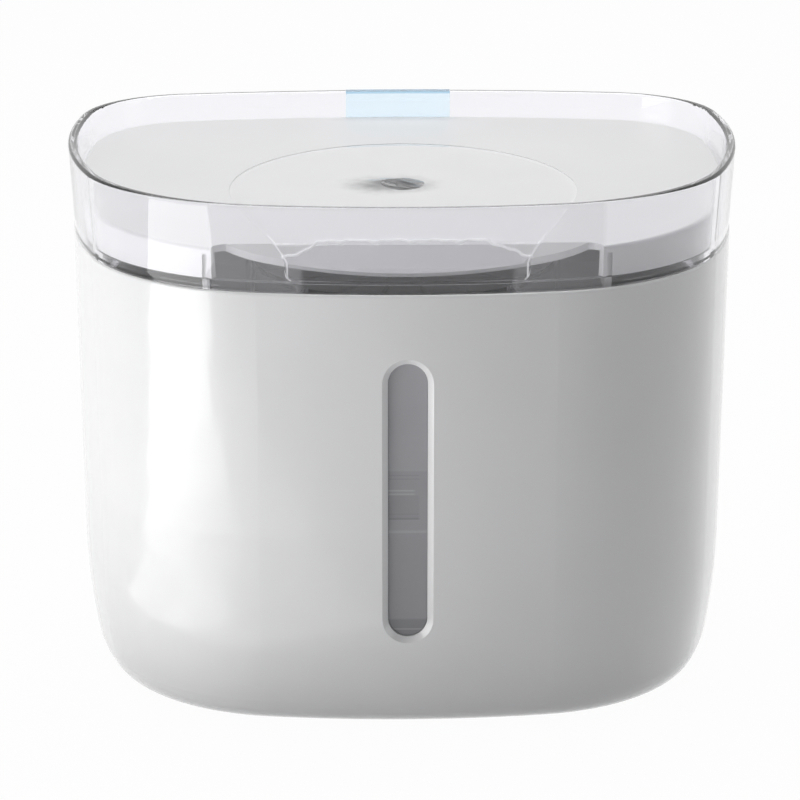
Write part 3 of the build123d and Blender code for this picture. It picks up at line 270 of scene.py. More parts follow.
finishes = {
    "glossShell": {
        "darkColour": (0.80, 0.80, 0.80), "lightColour": (0.83, 0.83, 0.835),
        "spotScale": 14.0, "smoothest": 0.17, "roughest": 0.23,
        "grainScale": 900.0, "grainDepth": 0.00002, "grainStrength": 0.15,
        "sockets": {"Specular IOR Level": 0.5, "Coat Weight": 0.65, "Coat Roughness": 0.08},
    },
    "satinPlate": {
        "darkColour": (0.82, 0.82, 0.82), "lightColour": (0.85, 0.85, 0.855),
        "spotScale": 20.0, "smoothest": 0.28, "roughest": 0.36,
        "grainScale": 1400.0, "grainDepth": 0.00003, "grainStrength": 0.2,
    },
    "clearTray": {
        "darkColour": (0.93, 0.925, 0.96), "lightColour": (0.95, 0.945, 0.975),
        "spotScale": 9.0, "smoothest": 0.01, "roughest": 0.03,
        "grainScale": 60.0, "grainDepth": 0.0001, "grainStrength": 0.05,
        "sockets": {"IOR": 1.49},
    },
    "smokedPane": {
        "darkColour": (0.67, 0.665, 0.70), "lightColour": (0.70, 0.695, 0.73),
        "spotScale": 30.0, "smoothest": 0.12, "roughest": 0.2,
        "grainScale": 500.0, "grainDepth": 0.00003,
        "sockets": {"Transmission Weight": 0.45, "IOR": 1.45},
    },
    "lampPane": {
        "darkColour": (0.80, 0.82, 0.85), "lightColour": (0.85, 0.87, 0.90),
        "spotScale": 40.0, "smoothest": 0.15, "roughest": 0.25,
        "grainScale": 500.0, "grainDepth": 0.00003,
        "sockets": {"Transmission Weight": 0.7, "IOR": 1.45},
    },
    "blueLightPipe": {
        "darkColour": (0.82, 0.915, 0.985), "lightColour": (0.86, 0.935, 0.99),
        "spotScale": 60.0, "smoothest": 0.05, "roughest": 0.12,
        "grainScale": 400.0, "grainDepth": 0.00004,
        "sockets": {"Transmission Weight": 0.9, "IOR": 1.49,
                    "Emission Color": (0.45, 0.76, 1.0, 1), "Emission Strength": 0.05},
    },
    "greySilicone": {
        "darkColour": (0.36, 0.36, 0.37), "lightColour": (0.42, 0.42, 0.43),
        "spotScale": 120.0, "smoothest": 0.45, "roughest": 0.6,
        "grainScale": 2500.0, "grainDepth": 0.00005,
        "sockets": {"Subsurface Weight": 0.05},
    },
    "paleRubber": {
        "darkColour": (0.52, 0.52, 0.53), "lightColour": (0.58, 0.58, 0.59),
        "spotScale": 90.0, "smoothest": 0.6, "roughest": 0.75,
        "grainScale": 2200.0, "grainDepth": 0.00008,
    },
    "platedSteel": {
        "darkColour": (0.52, 0.52, 0.53), "lightColour": (0.62, 0.62, 0.63),
        "spotScale": 300.0, "smoothest": 0.25, "roughest": 0.4,
        "grainScale": 4000.0, "grainDepth": 0.00003,
        "sockets": {"Metallic": 1.0},
    },
    "platedBrass": {
        "darkColour": (0.70, 0.52, 0.24), "lightColour": (0.80, 0.62, 0.32),
        "spotScale": 300.0, "smoothest": 0.2, "roughest": 0.3,
        "grainScale": 4000.0, "grainDepth": 0.00002,
        "sockets": {"Metallic": 1.0},
    },
    "blackMoulding": {
        "darkColour": (0.02, 0.02, 0.022), "lightColour": (0.035, 0.035, 0.037),
        "spotScale": 150.0, "smoothest": 0.4, "roughest": 0.5,
        "grainScale": 3000.0, "grainDepth": 0.00004,
    },
    "stackedIron": {
        "darkColour": (0.22, 0.22, 0.23), "lightColour": (0.32, 0.32, 0.33),
        "spotScale": 200.0, "smoothest": 0.45, "roughest": 0.6,
        "grainScale": 2600.0, "grainDepth": 0.00005,
        "sockets": {"Metallic": 0.8},
    },
    "copperWire": {
        "darkColour": (0.52, 0.20, 0.08), "lightColour": (0.72, 0.32, 0.14),
        "spotScale": 800.0, "smoothest": 0.3, "roughest": 0.4,
        "grainScale": 3200.0, "grainDepth": 0.0001,
        "sockets": {"Metallic": 0.9},
    },
    "boardGreen": {
        "darkColour": (0.01, 0.10, 0.045), "lightColour": (0.02, 0.16, 0.07),
        "spotScale": 400.0, "smoothest": 0.3, "roughest": 0.4,
        "grainScale": 2400.0, "grainDepth": 0.00003,
    },
    "lampLens": {
        "darkColour": (0.85, 0.92, 1.0), "lightColour": (0.92, 0.96, 1.0),
        "spotScale": 200.0, "smoothest": 0.15, "roughest": 0.25,
        "grainScale": 2000.0, "grainDepth": 0.00002,
        "sockets": {"Emission Color": (0.55, 0.8, 1.0, 1), "Emission Strength": 2.0},
    },
    "ribbonGrey": {
        "darkColour": (0.42, 0.42, 0.44), "lightColour": (0.52, 0.52, 0.54),
        "spotScale": 900.0, "smoothest": 0.5, "roughest": 0.6,
        "grainScale": 2600.0, "grainDepth": 0.00006,
    },
    "pumpMoulding": {
        "darkColour": (0.50, 0.50, 0.51), "lightColour": (0.55, 0.55, 0.56),
        "spotScale": 60.0, "smoothest": 0.32, "roughest": 0.42,
        "grainScale": 1800.0, "grainDepth": 0.00004,
    },
    "openFoam": {
        "darkColour": (0.03, 0.03, 0.035), "lightColour": (0.10, 0.10, 0.11),
        "spotScale": 700.0, "smoothest": 0.9, "roughest": 1.0,
        "grainScale": 900.0, "grainDepth": 0.0008, "grainStrength": 1.0,
    },
    "groundCeramic": {
        "darkColour": (0.78, 0.78, 0.75), "lightColour": (0.84, 0.84, 0.81),
        "spotScale": 300.0, "smoothest": 0.15, "roughest": 0.25,
        "grainScale": 3000.0, "grainDepth": 0.00001,
    },
    "sinteredMagnet": {
        "darkColour": (0.06, 0.06, 0.065), "lightColour": (0.12, 0.12, 0.13),
        "spotScale": 700.0, "smoothest": 0.45, "roughest": 0.6,
        "grainScale": 3000.0, "grainDepth": 0.00005,
        "sockets": {"Metallic": 0.6},
    },
    "clearRiser": {
        "darkColour": (0.86, 0.86, 0.88), "lightColour": (0.90, 0.90, 0.92),
        "spotScale": 50.0, "smoothest": 0.1, "roughest": 0.2,
        "grainScale": 900.0, "grainDepth": 0.00003,
        "sockets": {"Transmission Weight": 0.9, "IOR": 1.45},
    },
    "filterMoulding": {
        "darkColour": (0.72, 0.72, 0.72), "lightColour": (0.80, 0.80, 0.80),
        "spotScale": 60.0, "smoothest": 0.4, "roughest": 0.5,
        "grainScale": 1600.0, "grainDepth": 0.00004,
    },
    "carbonGrains": {
        "darkColour": (0.012, 0.012, 0.012), "lightColour": (0.06, 0.06, 0.06),
        "spotScale": 900.0, "smoothest": 0.6, "roughest": 0.9,
        "grainScale": 700.0, "grainDepth": 0.0012, "grainStrength": 1.0,
    },
    "clearWater": {
        "darkColour": (0.90, 0.90, 0.905), "lightColour": (0.92, 0.92, 0.925),
        "spotScale": 30.0, "smoothest": 0.0, "roughest": 0.02,
        "sockets": {"Transmission Weight": 1.0, "IOR": 1.33},
    },
    # Painted shade: the water on the ramp is tinted grey for the shade on the ramp, and the free sheet darker
    # still for the dark gutter behind it
    "shadedFallingWater": {
        "darkColour": (0.73, 0.725, 0.75), "lightColour": (0.77, 0.765, 0.79),
        "spotScale": 60.0, "smoothest": 0.0, "roughest": 0.03,
        "sockets": {"Transmission Weight": 1.0, "IOR": 1.33},
    },
    "shadedSheetWater": {
        "darkColour": (0.62, 0.62, 0.63), "lightColour": (0.68, 0.68, 0.69),
        "spotScale": 60.0, "smoothest": 0.0, "roughest": 0.03,
        "sockets": {"Transmission Weight": 1.0, "IOR": 1.33},
    },
    # Painted highlight: near-white water that glows faintly, for the lines along the crest, the sides and the
    # foot of the water
    "waterEdgeHighlight": {
        "darkColour": (0.95, 0.95, 0.96), "lightColour": (0.99, 0.99, 0.99),
        "spotScale": 400.0, "smoothest": 0.05, "roughest": 0.15,
        "sockets": {"Transmission Weight": 0.05, "IOR": 1.33,
                    "Emission Color": (1.0, 1.0, 1.0, 1), "Emission Strength": 0.14},
    },
    "pressedFibre": {
        "darkColour": (0.74, 0.74, 0.72), "lightColour": (0.84, 0.84, 0.82),
        "spotScale": 500.0, "smoothest": 0.9, "roughest": 1.0,
        "grainScale": 1200.0, "grainDepth": 0.0005, "grainStrength": 0.8,
    },
}
wearing = {
    "glossShell": ("housing", "base_cover"),
    "satinPlate": ("plate",),
    "clearTray": ("tray",),
    "smokedPane": ("window_pane",),
    "lampPane": ("lamp_window",),
    "blueLightPipe": ("light_guide",),
    "greySilicone": ("window_gasket", "base_gasket", "shaft_bush", "riser_seal"),
    "paleRubber": ("feet",),
    "platedSteel": ("cover_screws",),
    "platedBrass": ("inlet_pin",),
    "blackMoulding": ("inlet_socket",),
    "stackedIron": ("stator_core",),
    "copperWire": ("stator_coils",),
    "boardGreen": ("control_board", "lamp_board"),
    "lampLens": ("lamps",),
    "ribbonGrey": ("lamp_ribbon",),
    "pumpMoulding": ("pump_case", "pump_chamber", "pump_lid", "impeller"),
    "openFoam": ("pump_foam",),
    "groundCeramic": ("impeller_shaft",),
    "sinteredMagnet": ("rotor_magnet",),
    "clearRiser": ("riser_tube",),
    "filterMoulding": ("filter_case", "filter_lid"),
    "carbonGrains": ("filter_media",),
    "pressedFibre": ("filter_pad",),
}
for finish, wearers in wearing.items():
    dress(makeFinish(finish, finishes[finish]), *wearers)
bare = sorted(set(nodes) - {name for wearers in wearing.values() for name in wearers})
print("finishes made:", len(finishes), "bare nodes:", bare)


# Colours that change over a piece. A share(tree, place) gives how much of the colour lies at each place
def paintOver(material, colour, share):
    tree = material.node_tree
    shader = tree.nodes["Principled BSDF"]
    below = shader.inputs["Base Color"].links[0].from_socket
    place = tree.nodes.new("ShaderNodeTexCoord").outputs["Object"]
    mix = tree.nodes.new("ShaderNodeMix")
    mix.data_type = "RGBA"
    mix.blend_type = "MIX"
    tree.links.new(share(tree, place), mix.inputs["Factor"])
    tree.links.new(below, mix.inputs["A"])
    mix.inputs["B"].default_value = (*colour, 1)
    tree.links.new(mix.outputs["Result"], shader.inputs["Base Color"])


def bandShare(axis, places):       # places: (metres, share) along the axis, in order
    low, high = places[0][0], places[-1][0]

    def share(tree, place):
        split = tree.nodes.new("ShaderNodeSeparateXYZ")
        tree.links.new(place, split.inputs[0])
        ramp = tree.nodes.new("ShaderNodeValToRGB")
        stops = ramp.color_ramp.elements
        for at, _ in places[1:-1]:
            stops.new((at - low) / (high - low))
        for stop, (at, amount) in zip(stops, places):
            stop.position = (at - low) / (high - low)
            stop.color = (amount, amount, amount, 1)
        tree.links.new(addRange(tree, split.outputs[axis], before=(low, high)), ramp.inputs["Fac"])
        return ramp.outputs["Color"]
    return share


def bothShares(first, second):
    def share(tree, place):
        return addMath(tree, "MULTIPLY", first(tree, place), second(tree, place))
    return share


def spotShare(spot):       # full inside the core, none beyond the reach, with a ragged edge
    def share(tree, place):
        noise = addNoise(tree, place, spot["raggedScale"], spot["raggedDetail"])
        shift = tree.nodes.new("ShaderNodeVectorMath")
        shift.operation = "MULTIPLY_ADD"
        tree.links.new(noise.outputs["Color"], shift.inputs[0])
        shift.inputs[1].default_value = (spot["ragged"], spot["ragged"], 0)
        tree.links.new(place, shift.inputs[2])
        flat = tree.nodes.new("ShaderNodeVectorMath")
        flat.operation = "MULTIPLY"
        tree.links.new(shift.outputs[0], flat.inputs[0])
        flat.inputs[1].default_value = (spot["squeeze"], 1, 0)
        away = tree.nodes.new("ShaderNodeVectorMath")
        away.operation = "DISTANCE"
        tree.links.new(flat.outputs[0], away.inputs[0])
        middleX, middleY = (at + spot["ragged"] / 2 for at in spot["middle"])
        away.inputs[1].default_value = (middleX * spot["squeeze"], middleY, 0)
        return addRange(tree, away.outputs["Value"], (spot["core"], spot["reach"]), (1.0, 0.0), "SMOOTHSTEP")
    return share


# Painted shade: a darker blue line along the top edge of the light guide
guideEdgeShade = {
    "colour": (0.22, 0.47, 0.68),
    "heights": ((0.1728, 0.0), (0.1735, 0.0), (0.1737, 0.85), (0.1744, 0.85)),
}
tankInsideShade = {       # painted shade of the tank's dim inside behind the pane: darker at the streaky foot and in the water, with lighter lines at the pump's seam and the waterline
    "colour": (0.42, 0.42, 0.44),
    "heights": (
        (0.0300, 1.0), (0.0320, 1.0), (0.0323, 0.0), (0.0326, 1.0), (0.0345, 1.0), (0.0348, 0.1),
        (0.0351, 1.0), (0.0380, 1.0), (0.0384, 0.55), (0.0560, 0.50), (0.0672, 0.42), (0.0674, 0.0),
        (0.0680, 0.0), (0.0683, 0.36), (0.0878, 0.36), (0.0881, 0.0), (0.0884, 0.0), (0.0887, 0.10),
        (0.1250, 0.0),
    ),
}
pumpShade = {       # painted shade of the pump case's ribs and deck behind the pane
    "colour": (0.40, 0.40, 0.41),
    "heights": (
        (0.0716, 0.0), (0.0719, 0.75), (0.0722, 0.75), (0.0725, 0.3), (0.0733, 0.25), (0.0736, 0.55),
        (0.0739, 0.25), (0.0797, 0.25), (0.0800, 0.0), (0.0850, 0.0), (0.0853, 0.35), (0.0856, 0.0),
        (0.0862, 0.0), (0.0865, 0.35), (0.0868, 0.0),
    ),
    "across": ((-0.0070, 0.0), (-0.0066, 1.0), (0.0032, 1.0), (0.0040, 0.0)),
}
pumpLight = {       # painted highlights: bright lines along the lid of the pump behind the pane
    "colour": (0.80, 0.80, 0.81),
    "heights": (
        (0.0799, 0.0), (0.0801, 0.7), (0.0804, 0.7), (0.0806, 0.0), (0.0811, 0.0), (0.0813, 0.8),
        (0.0816, 0.8), (0.0818, 0.0),
    ),
    "across": ((-0.0070, 0.0), (-0.0066, 1.0), (0.0016, 1.0), (0.0026, 0.0)),
}
# Painted shade: a ragged dark smear in the water beside the spring
springShade = {
    "colour": (0.15, 0.15, 0.155),
    "middle": (-0.0045, -0.0055), "core": 0.003, "reach": 0.0140,
    "squeeze": 0.72,          # under 1 it is longer along X
    "ragged": 0.006, "raggedScale": 260.0, "raggedDetail": 2.0,
}
# Painted shade and highlights on the light guide and the window pane
guideFinish = nodes["light_guide"].data.materials[0]
paneFinish = nodes["window_pane"].data.materials[0]
paintOver(guideFinish, guideEdgeShade["colour"], bandShare("Z", guideEdgeShade["heights"]))
paintOver(paneFinish, tankInsideShade["colour"], bandShare("Z", tankInsideShade["heights"]))
for patch in (pumpShade, pumpLight):
    bands = bothShares(bandShare("Z", patch["heights"]), bandShare("X", patch["across"]))
    paintOver(paneFinish, patch["colour"], bands)
print("light guide and window pane painted")


# Haze of the tray's front wall before the notch, which leaves the middle of the gutter clear
hazeSetup = {
    "transmission": 0.90,
    "half": 0.0612, "ahead": -0.060,
    "clearHalf": 0.033, "clearBelow": 0.1545,
    "fade": 0.001,
}


def hazeTray(material, setup):
    tree = material.node_tree
    split = tree.nodes.new("ShaderNodeSeparateXYZ")
    tree.links.new(tree.nodes.new("ShaderNodeTexCoord").outputs["Object"], split.inputs[0])
    across = tree.nodes.new("ShaderNodeMath")
    across.operation = "ABSOLUTE"
    tree.links.new(split.outputs["X"], across.inputs[0])

    def under(source, limit):
        before = (limit - setup["fade"], limit + setup["fade"])
        return addRange(tree, source, before, (1.0, 0.0))

    front = under(split.outputs["Y"], setup["ahead"])
    wall = addMath(tree, "MULTIPLY", under(across.outputs[0], setup["half"]), front)
    low = under(split.outputs["Z"], setup["clearBelow"])
    gutter = addMath(tree, "MULTIPLY", under(across.outputs[0], setup["clearHalf"]), low)
    hazy = addMath(tree, "SUBTRACT", wall, addMath(tree, "MULTIPLY", wall, gutter))
    clear = addRange(tree, hazy, after=(1.0, setup["transmission"]))
    tree.links.new(clear, tree.nodes["Principled BSDF"].inputs["Transmission Weight"])


# The outline of the housing and the tray in millimetres, built from arcs that run into each other
outlineSetup = {
    "width": 222.0, "depth": 176.0, "widestY": 20.0,
    "frontRadius": 295.0, "sideRadius": 187.0, "backRadius": 555.0,
    "frontCornerRadius": 69.0, "backCornerRadius": 39.0,
}


def meetingPoint(first, firstReach, second, secondReach):
    # the point at both reaches, to the left of the way from first to second
    span = second - first
    along = (span.length_squared + firstReach ** 2 - secondReach ** 2) / (2 * span.length)
    off = (firstReach ** 2 - along ** 2) ** 0.5
    step = span.normalized()
    return first + step * along + Vector((-step.y, step.x)) * off


def bearing(start, end):
    return degrees(atan2(end.y - start.y, end.x - start.x)) % 360


def outlineArcs(setup):       # centre, and the normal's lowest and highest angle, on the left half
    front = Vector((0.0, setup["frontRadius"] - setup["depth"] / 2))
    side = Vector((setup["sideRadius"] - setup["width"] / 2, setup["widestY"]))
    back = Vector((0.0, setup["depth"] / 2 - setup["backRadius"]))
    turn = setup["frontCornerRadius"]
    frontCorner = meetingPoint(side, setup["sideRadius"] - turn, front, setup["frontRadius"] - turn)
    turn = setup["backCornerRadius"]
    backCorner = meetingPoint(back, setup["backRadius"] - turn, side, setup["sideRadius"] - turn)
    frontEnd, sideStart = bearing(front, frontCorner), bearing(side, frontCorner)
    sideEnd, backEnd = bearing(side, backCorner), bearing(back, backCorner)
    return (
        (front, frontEnd, 270.0), (frontCorner, sideStart, frontEnd), (side, sideEnd, sideStart),
        (backCorner, backEnd, sideEnd), (back, 90.0, backEnd),
    )


def outlineNormal(x, y, arcs, slack):
    for middle, low, high in arcs:
        angle = bearing(middle, Vector((-abs(x), y)))
        if low - slack <= angle <= high + slack:
            turn = radians(angle)
            return Vector((cos(turn) if x < 0 else -cos(turn), sin(turn), 0))
    return None


def letLightPass(piece):       # lamps reach what lies behind clear walls and water
    piece.visible_diffuse = False
    piece.visible_shadow = False


# The tray's clear walls show every break in the shading, so a copy of it takes its walls' normals
# from the outline's arcs and stands for it
shellSetup = {
    "steepest": 0.4,          # walls are where the normal's Z is under this
    "agreement": 0.985,       # cosine of the most that a normal is turned by
    "slack": 0.01,            # degrees past an arc's ends
}


def evenNormal(normal, place, arcs, setup):
    even = outlineNormal(place.x, place.y, arcs, setup["slack"])
    if even is None or abs(normal.z) >= setup["steepest"]:
        return normal
    side = Vector((normal.x, normal.y, 0)).normalized().dot(even)
    if abs(side) <= setup["agreement"]:
        return normal
    level = (1 - normal.z ** 2) ** 0.5
    return even * (level if side > 0 else -level) + Vector((0, 0, normal.z))


def makeTrayShell(setup):
    arcs = outlineArcs(outlineSetup)
    mesh = nodes["tray"].data.copy()
    mesh.name = "clearTrayShell"
    normals = []
    for loop, corner in zip(mesh.loops, mesh.corner_normals):
        place = mesh.vertices[loop.vertex_index].co * 1000
        normals.append(evenNormal(Vector(corner.vector), place, arcs, setup).normalized())
    mesh.normals_split_custom_set(normals)
    shell = bpy.data.objects.new("clearTrayShell", mesh)
    scene.collection.objects.link(shell)
    letLightPass(shell)
    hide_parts("tray")
    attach(shell, "tray")


hazeTray(nodes["tray"].data.materials[0], hazeSetup)
makeTrayShell(shellSetup)
print("clear tray made")


# Water on the plate: a film in the course that rises to a wavy crest and falls off the ramp as a sheet
waterSetup = {
    # the plate's own sizes, in millimetres and degrees
    "spillY": -72.0, "spillZ": 159.6, "plateSlope": 2.2, "rampSlope": 47.0, "courseDepth": 0.8,
    "pondRadius": 56.8, "pondY": -10.0, "courseHalf": 42.0, "rampInset": 9.6, "rampEdgeHalf": 38.2,
    # the film
    "sink": 0.1,              # how far the water reaches into the plate, so that no air shows between
    "filmAbove": 0.12, "edgeReach": 3.0, "edgeDrop": 0.06,
    "ripples": ((0.025, 0.21, 0.13, 0.0), (0.02, 0.11, -0.27, 1.0)),       # height, turns by X, by Y, phase
    "flowHeight": 0.03, "flowTurns": 0.9, "flowBend": 2.5, "flowBendTurns": 0.06,
    "flowStart": -20.0, "flowFade": 20.0,
    # the dome over the spring, and a bubble beside it
    "domeX": -4.0, "domeY": -4.5, "domeHeight": 1.1, "domeReach": 4.5, "domeStretch": 1.5,
    "boilShare": 0.35, "boilTurnsX": 0.9, "boilTurnsY": 1.1,
    "bubbleX": 5.0, "bubbleY": -6.0, "bubbleHeight": 0.5, "bubbleReach": 2.6,
    # the raised line along each side
    "sideHeight": 0.22, "sideReach": 0.5, "sideInset": 1.0, "sideStart": -52.0, "sideFade": 10.0,
    "sideColumns": (8, 10), "sideLineStart": -60.0,
    # the crest before the fall
    "crestStart": 21.0, "crestFall": 4.9, "crestAhead": 0.3, "crestLine": 0.38,
    "crestWaves": ((0.28, 0.55, 0.0), (0.2, 1.3, 0.7)),       # height, turns by X, phase
    "swellHeight": 0.55, "swellReach": 3.0,
    "lipHeight": 0.6, "lipReach": 0.45, "lipSideLoss": 0.35, "lipInset": 0.8,
    # the sheet, and how far the bends before it spread
    "sheetThickness": 0.45, "sheetBottom": 148.2, "sheetCorner": 3.4, "shortestSheet": 0.4, "footLine": 0.45,
    "sheetBead": 0.35, "beadReach": 0.4, "beadFoot": 0.35,
    "spillBend": 1.6, "rampEndBend": 1.8, "sheetBlend": 1.6,
    # the mesh
    "columns": 140,
    "filmBack": (0.05, 0.45, 1.25),       # the first rows, from the pond's back edge
    "coarseStart": 2.65, "coarseStep": 3.2, "coarseRows": 12,
    "springStep": 0.9, "springRows": 26,
    "endRows": 15, "filmEnd": -66.0,
    "crestBand": 1.4, "fallRows": (8, 9, 9, 9, 12),
    "sharpAngle": 50,
}
waterFinishes = ("clearWater", "shadedFallingWater", "waterEdgeHighlight", "shadedSheetWater")


def smooth(share):
    share = min(max(share, 0.0), 1.0)
    return share * share * (3 - 2 * share)


def step(at, middle, width):       # from 0 to 1 over the width about the middle
    return smooth((at - middle) / width + 0.5)


def bump(away, reach):
    return exp(-(away / reach) ** 2)


def leans(setup):       # places across the water from -1 to 1, closer together at the sides
    return [sin(pi * (j / setup["columns"] - 0.5)) for j in range(setup["columns"] + 1)]


def courseEdge(y, setup):       # half the width of the course at y, on the plate
    away = setup["pondY"] - setup["spillY"]
    reach = hypot(setup["courseHalf"], away)
    tangent = (reach ** 2 - setup["pondRadius"] ** 2) ** 0.5
    turn = pi - atan2(away, setup["courseHalf"]) - asin(setup["pondRadius"] / reach)
    touchX = setup["courseHalf"] + tangent * cos(turn)
    touchY = setup["spillY"] + tangent * sin(turn)
    if y >= touchY:
        return max(setup["pondRadius"] ** 2 - (y - setup["pondY"]) ** 2, 0.0) ** 0.5
    share = (y - setup["spillY"]) / (touchY - setup["spillY"])
    return setup["courseHalf"] + share * (touchX - setup["courseHalf"])


def sideLine(inside, setup):
    return setup["sideHeight"] * bump(inside - setup["sideInset"], setup["sideReach"])


def filmHeight(x, y, inside, setup):       # the film's surface over the plate, inside from its edge
    height = setup["filmAbove"]
    for ripple, turnsX, turnsY, phase in setup["ripples"]:
        height += ripple * sin(x * turnsX + y * turnsY + phase)
    flow = sin(y * setup["flowTurns"] + setup["flowBend"] * sin(x * setup["flowBendTurns"]))
    height += setup["flowHeight"] * flow * smooth((setup["flowStart"] - y) / setup["flowFade"])
    dome = hypot((x - setup["domeX"]) / setup["domeStretch"], y - setup["domeY"])
    boil = 1 + setup["boilShare"] * sin(x * setup["boilTurnsX"] + y * setup["boilTurnsY"])
    height += setup["domeHeight"] * bump(dome, setup["domeReach"]) * boil
    bubble = hypot(x - setup["bubbleX"], y - setup["bubbleY"])
    height += setup["bubbleHeight"] * bump(bubble, setup["bubbleReach"])
    drop = setup["edgeDrop"]
    height = (height + drop) * smooth(inside / setup["edgeReach"]) - drop
    return height + sideLine(inside, setup) * smooth((setup["sideStart"] - y) / setup["sideFade"])


def filmPlaces(setup):       # Y of each row, close together over the spring
    back = setup["pondY"] + setup["pondRadius"]
    places = [back - away for away in setup["filmBack"]]
    places += [back - setup["coarseStart"] - setup["coarseStep"] * i for i in range(setup["coarseRows"])]
    last = places[-1]
    places += [last - setup["springStep"] * (i + 1) for i in range(setup["springRows"])]
    last = places[-1]
    count = setup["endRows"]
    return places + [last + (setup["filmEnd"] - last) * (i + 1) / count for i in range(count)]


# Rows of (top, low, finish) points from the back of the pond to just before the crest
def filmRows(setup):
    slope = tan(radians(setup["plateSlope"]))
    under = setup["courseDepth"] + setup["sink"]
    rows = []
    for y in filmPlaces(setup):
        half = courseEdge(y, setup) + setup["sink"]
        plane = setup["spillZ"] + (y - setup["spillY"]) * slope
        row = []
        for lean in leans(setup):
            x = half * lean
            inside = half - abs(x)
            if y > setup["pondY"]:
                pondEdge = setup["pondRadius"] + setup["sink"]
                inside = min(inside, pondEdge - hypot(x, y - setup["pondY"]))
            top = (x, y, plane + filmHeight(x, y, inside, setup))
            row.append((top, (x, y, plane - under), "clearWater"))
        rows.append(row)
    return rows


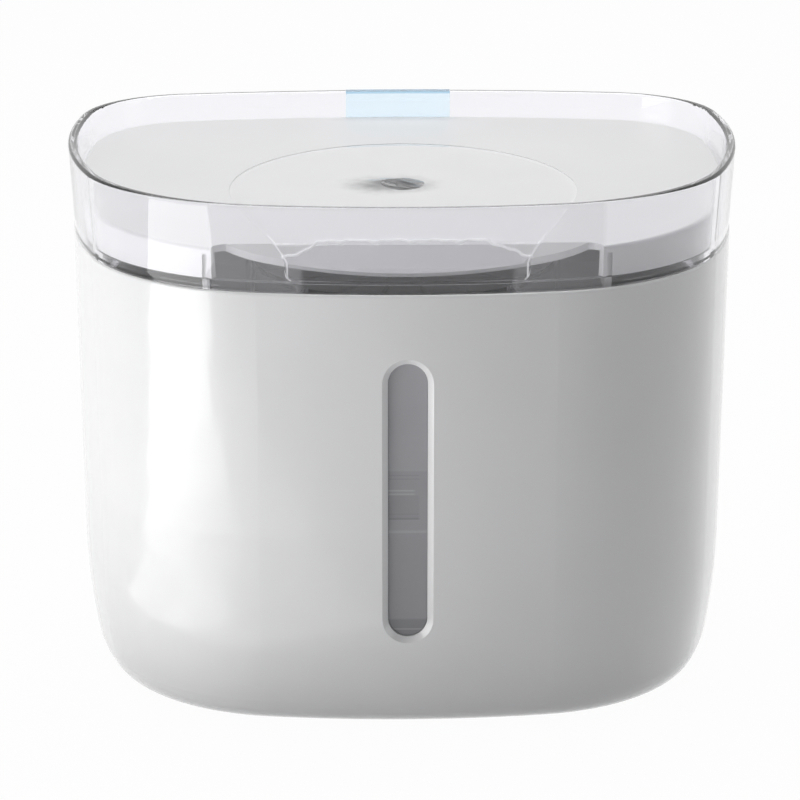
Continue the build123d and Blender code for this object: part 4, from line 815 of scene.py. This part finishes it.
# One line of (top, low, finish) points over the spill edge, down the ramp and down the free sheet
def fallColumn(lean, setup):
    slope, steep = radians(setup["plateSlope"]), radians(setup["rampSlope"])
    depth = setup["courseDepth"] + setup["sink"]
    cornerY = setup["spillY"] + (depth / cos(steep) - depth) / tan(steep)
    cornerZ = setup["spillZ"] - depth + (cornerY - setup["spillY"]) * tan(slope)
    edgeX = (setup["rampEdgeHalf"] + setup["sink"]) * lean
    edgeRadius = outlineSetup["frontRadius"] - setup["rampInset"]
    edgeY = setup["rampInset"] - outlineSetup["depth"] / 2 + edgeX ** 2 / (2 * edgeRadius)
    edgeZ = cornerZ - (cornerY - edgeY) * tan(steep)

    # along the way down: where the ramp starts, where it ends and where the sheet ends
    spill = setup["filmEnd"] - cornerY
    rampEnd = spill + (cornerY - edgeY) / cos(steep)
    corner = setup["sheetCorner"]
    past = max(abs(edgeX) - (setup["rampEdgeHalf"] - corner), 0.0)
    foot = setup["sheetBottom"] + corner - max(corner ** 2 - past ** 2, 0.0) ** 0.5
    end = rampEnd + max(edgeZ - foot, setup["shortestSheet"])
    side = smooth((abs(edgeX) - setup["crestStart"]) / (setup["rampEdgeHalf"] - setup["crestStart"]))
    crest = spill - setup["crestAhead"] + setup["crestFall"] * side
    crest += sum(wave * sin(edgeX * turns + phase) for wave, turns, phase in setup["crestWaves"])
    marks = (0.0, crest - setup["crestBand"], crest, crest + setup["crestBand"], rampEnd, end)
    places = []
    for low, high, count in zip(marks, marks[1:], setup["fallRows"]):
        places += [low + (high - low) * i / count for i in range(count)]

    column = []
    for at in places + [end]:
        share = min(max((at - spill) / (rampEnd - spill), 0.0), 1.0)
        half = setup["courseHalf"] + (setup["rampEdgeHalf"] - setup["courseHalf"]) * share
        if at < spill:
            half = courseEdge(setup["filmEnd"] - at, setup)
        half += setup["sink"]
        x = half * lean
        inside = half - abs(x)
        if at <= spill:
            y, z = setup["filmEnd"] - at, cornerZ + (spill - at) * tan(slope)
        elif at <= rampEnd:
            y, z = cornerY - (at - spill) * cos(steep), cornerZ - (at - spill) * sin(steep)
        else:
            y, z = edgeY, edgeZ - (at - rampEnd)

        swell = setup["swellHeight"] * (1 - side) * bump(at - crest, setup["swellReach"])
        lip = setup["lipHeight"] * (1 - setup["lipSideLoss"] * side) * bump(at - crest, setup["lipReach"])
        film = (setup["filmAbove"] + swell + setup["edgeDrop"]) * smooth(inside / setup["edgeReach"])
        film += depth - setup["edgeDrop"] + lip * smooth(inside / setup["lipInset"]) + sideLine(inside, setup)
        reach = setup["beadReach"]
        bead = bump(inside - reach, reach) + bump(end - at - setup["beadFoot"], reach)
        sheet = setup["sheetThickness"] + setup["sheetBead"] * bead
        thick = film + (sheet - film) * step(at, rampEnd, setup["sheetBlend"])
        turn = steep * step(at, spill, setup["spillBend"])
        turn += (pi / 2 - steep) * step(at, rampEnd, setup["rampEndBend"])
        top = (x, y - thick * sin(turn), z + thick * cos(turn))
        # painted highlight along the crest and the sheet's foot
        if abs(at - crest) < setup["crestLine"] or at > end - setup["footLine"]:
            finish = "waterEdgeHighlight"
        elif at < crest:
            finish = "clearWater"
        elif at < rampEnd:
            finish = "shadedFallingWater"
        else:
            finish = "shadedSheetWater"
        column.append((top, (x, y, z), finish))
    return column


def makeWater(setup):
    columns = [fallColumn(lean, setup) for lean in leans(setup)]
    fall = [list(row) for row in zip(*columns)]
    rows = filmRows(setup) + fall[1:]       # the fall starts on the film's last row
    work = bmesh.new()
    tops = [[work.verts.new([v / 1000 for v in top]) for top, _, _ in row] for row in rows]
    lows = [[work.verts.new([v / 1000 for v in low]) for _, low, _ in row] for row in rows]

    def addFace(corners, finish):
        work.faces.new(corners).material_index = waterFinishes.index(finish)

    last = setup["columns"]
    nearest, farthest = setup["sideColumns"]
    for i in range(len(rows) - 1):
        for j in range(last):
            _, low, finish = rows[i][j]
            # painted highlight along the lines at the sides
            if nearest <= min(j, last - 1 - j) <= farthest and low[1] < setup["sideLineStart"]:
                finish = "waterEdgeHighlight"
            addFace((tops[i][j], tops[i + 1][j], tops[i + 1][j + 1], tops[i][j + 1]), finish)
            addFace((lows[i][j], lows[i][j + 1], lows[i + 1][j + 1], lows[i + 1][j]), finish)
        for j in (0, last):
            addFace((tops[i][j], lows[i][j], lows[i + 1][j], tops[i + 1][j]), rows[i][j][2])
    for row, finish in ((0, "clearWater"), (len(rows) - 1, "shadedSheetWater")):
        for j in range(last):
            addFace((tops[row][j], tops[row][j + 1], lows[row][j + 1], lows[row][j]), finish)
    bmesh.ops.recalc_face_normals(work, faces=work.faces)
    mesh = bpy.data.meshes.new("plateWater")
    work.to_mesh(mesh)
    work.free()
    for face in mesh.polygons:
        face.use_smooth = True
    mesh.set_sharp_from_angle(angle=radians(setup["sharpAngle"]))
    for name in waterFinishes:
        mesh.materials.append(makeFinish(name, finishes[name]))
    # painted shade by the spring, on the clear water
    paintOver(mesh.materials[0], springShade["colour"], spotShare(springShade))
    water = bpy.data.objects.new("plateWater", mesh)
    scene.collection.objects.link(water)
    letLightPass(water)
    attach(water, "plate")


makeWater(waterSetup)
print("water on the plate made")
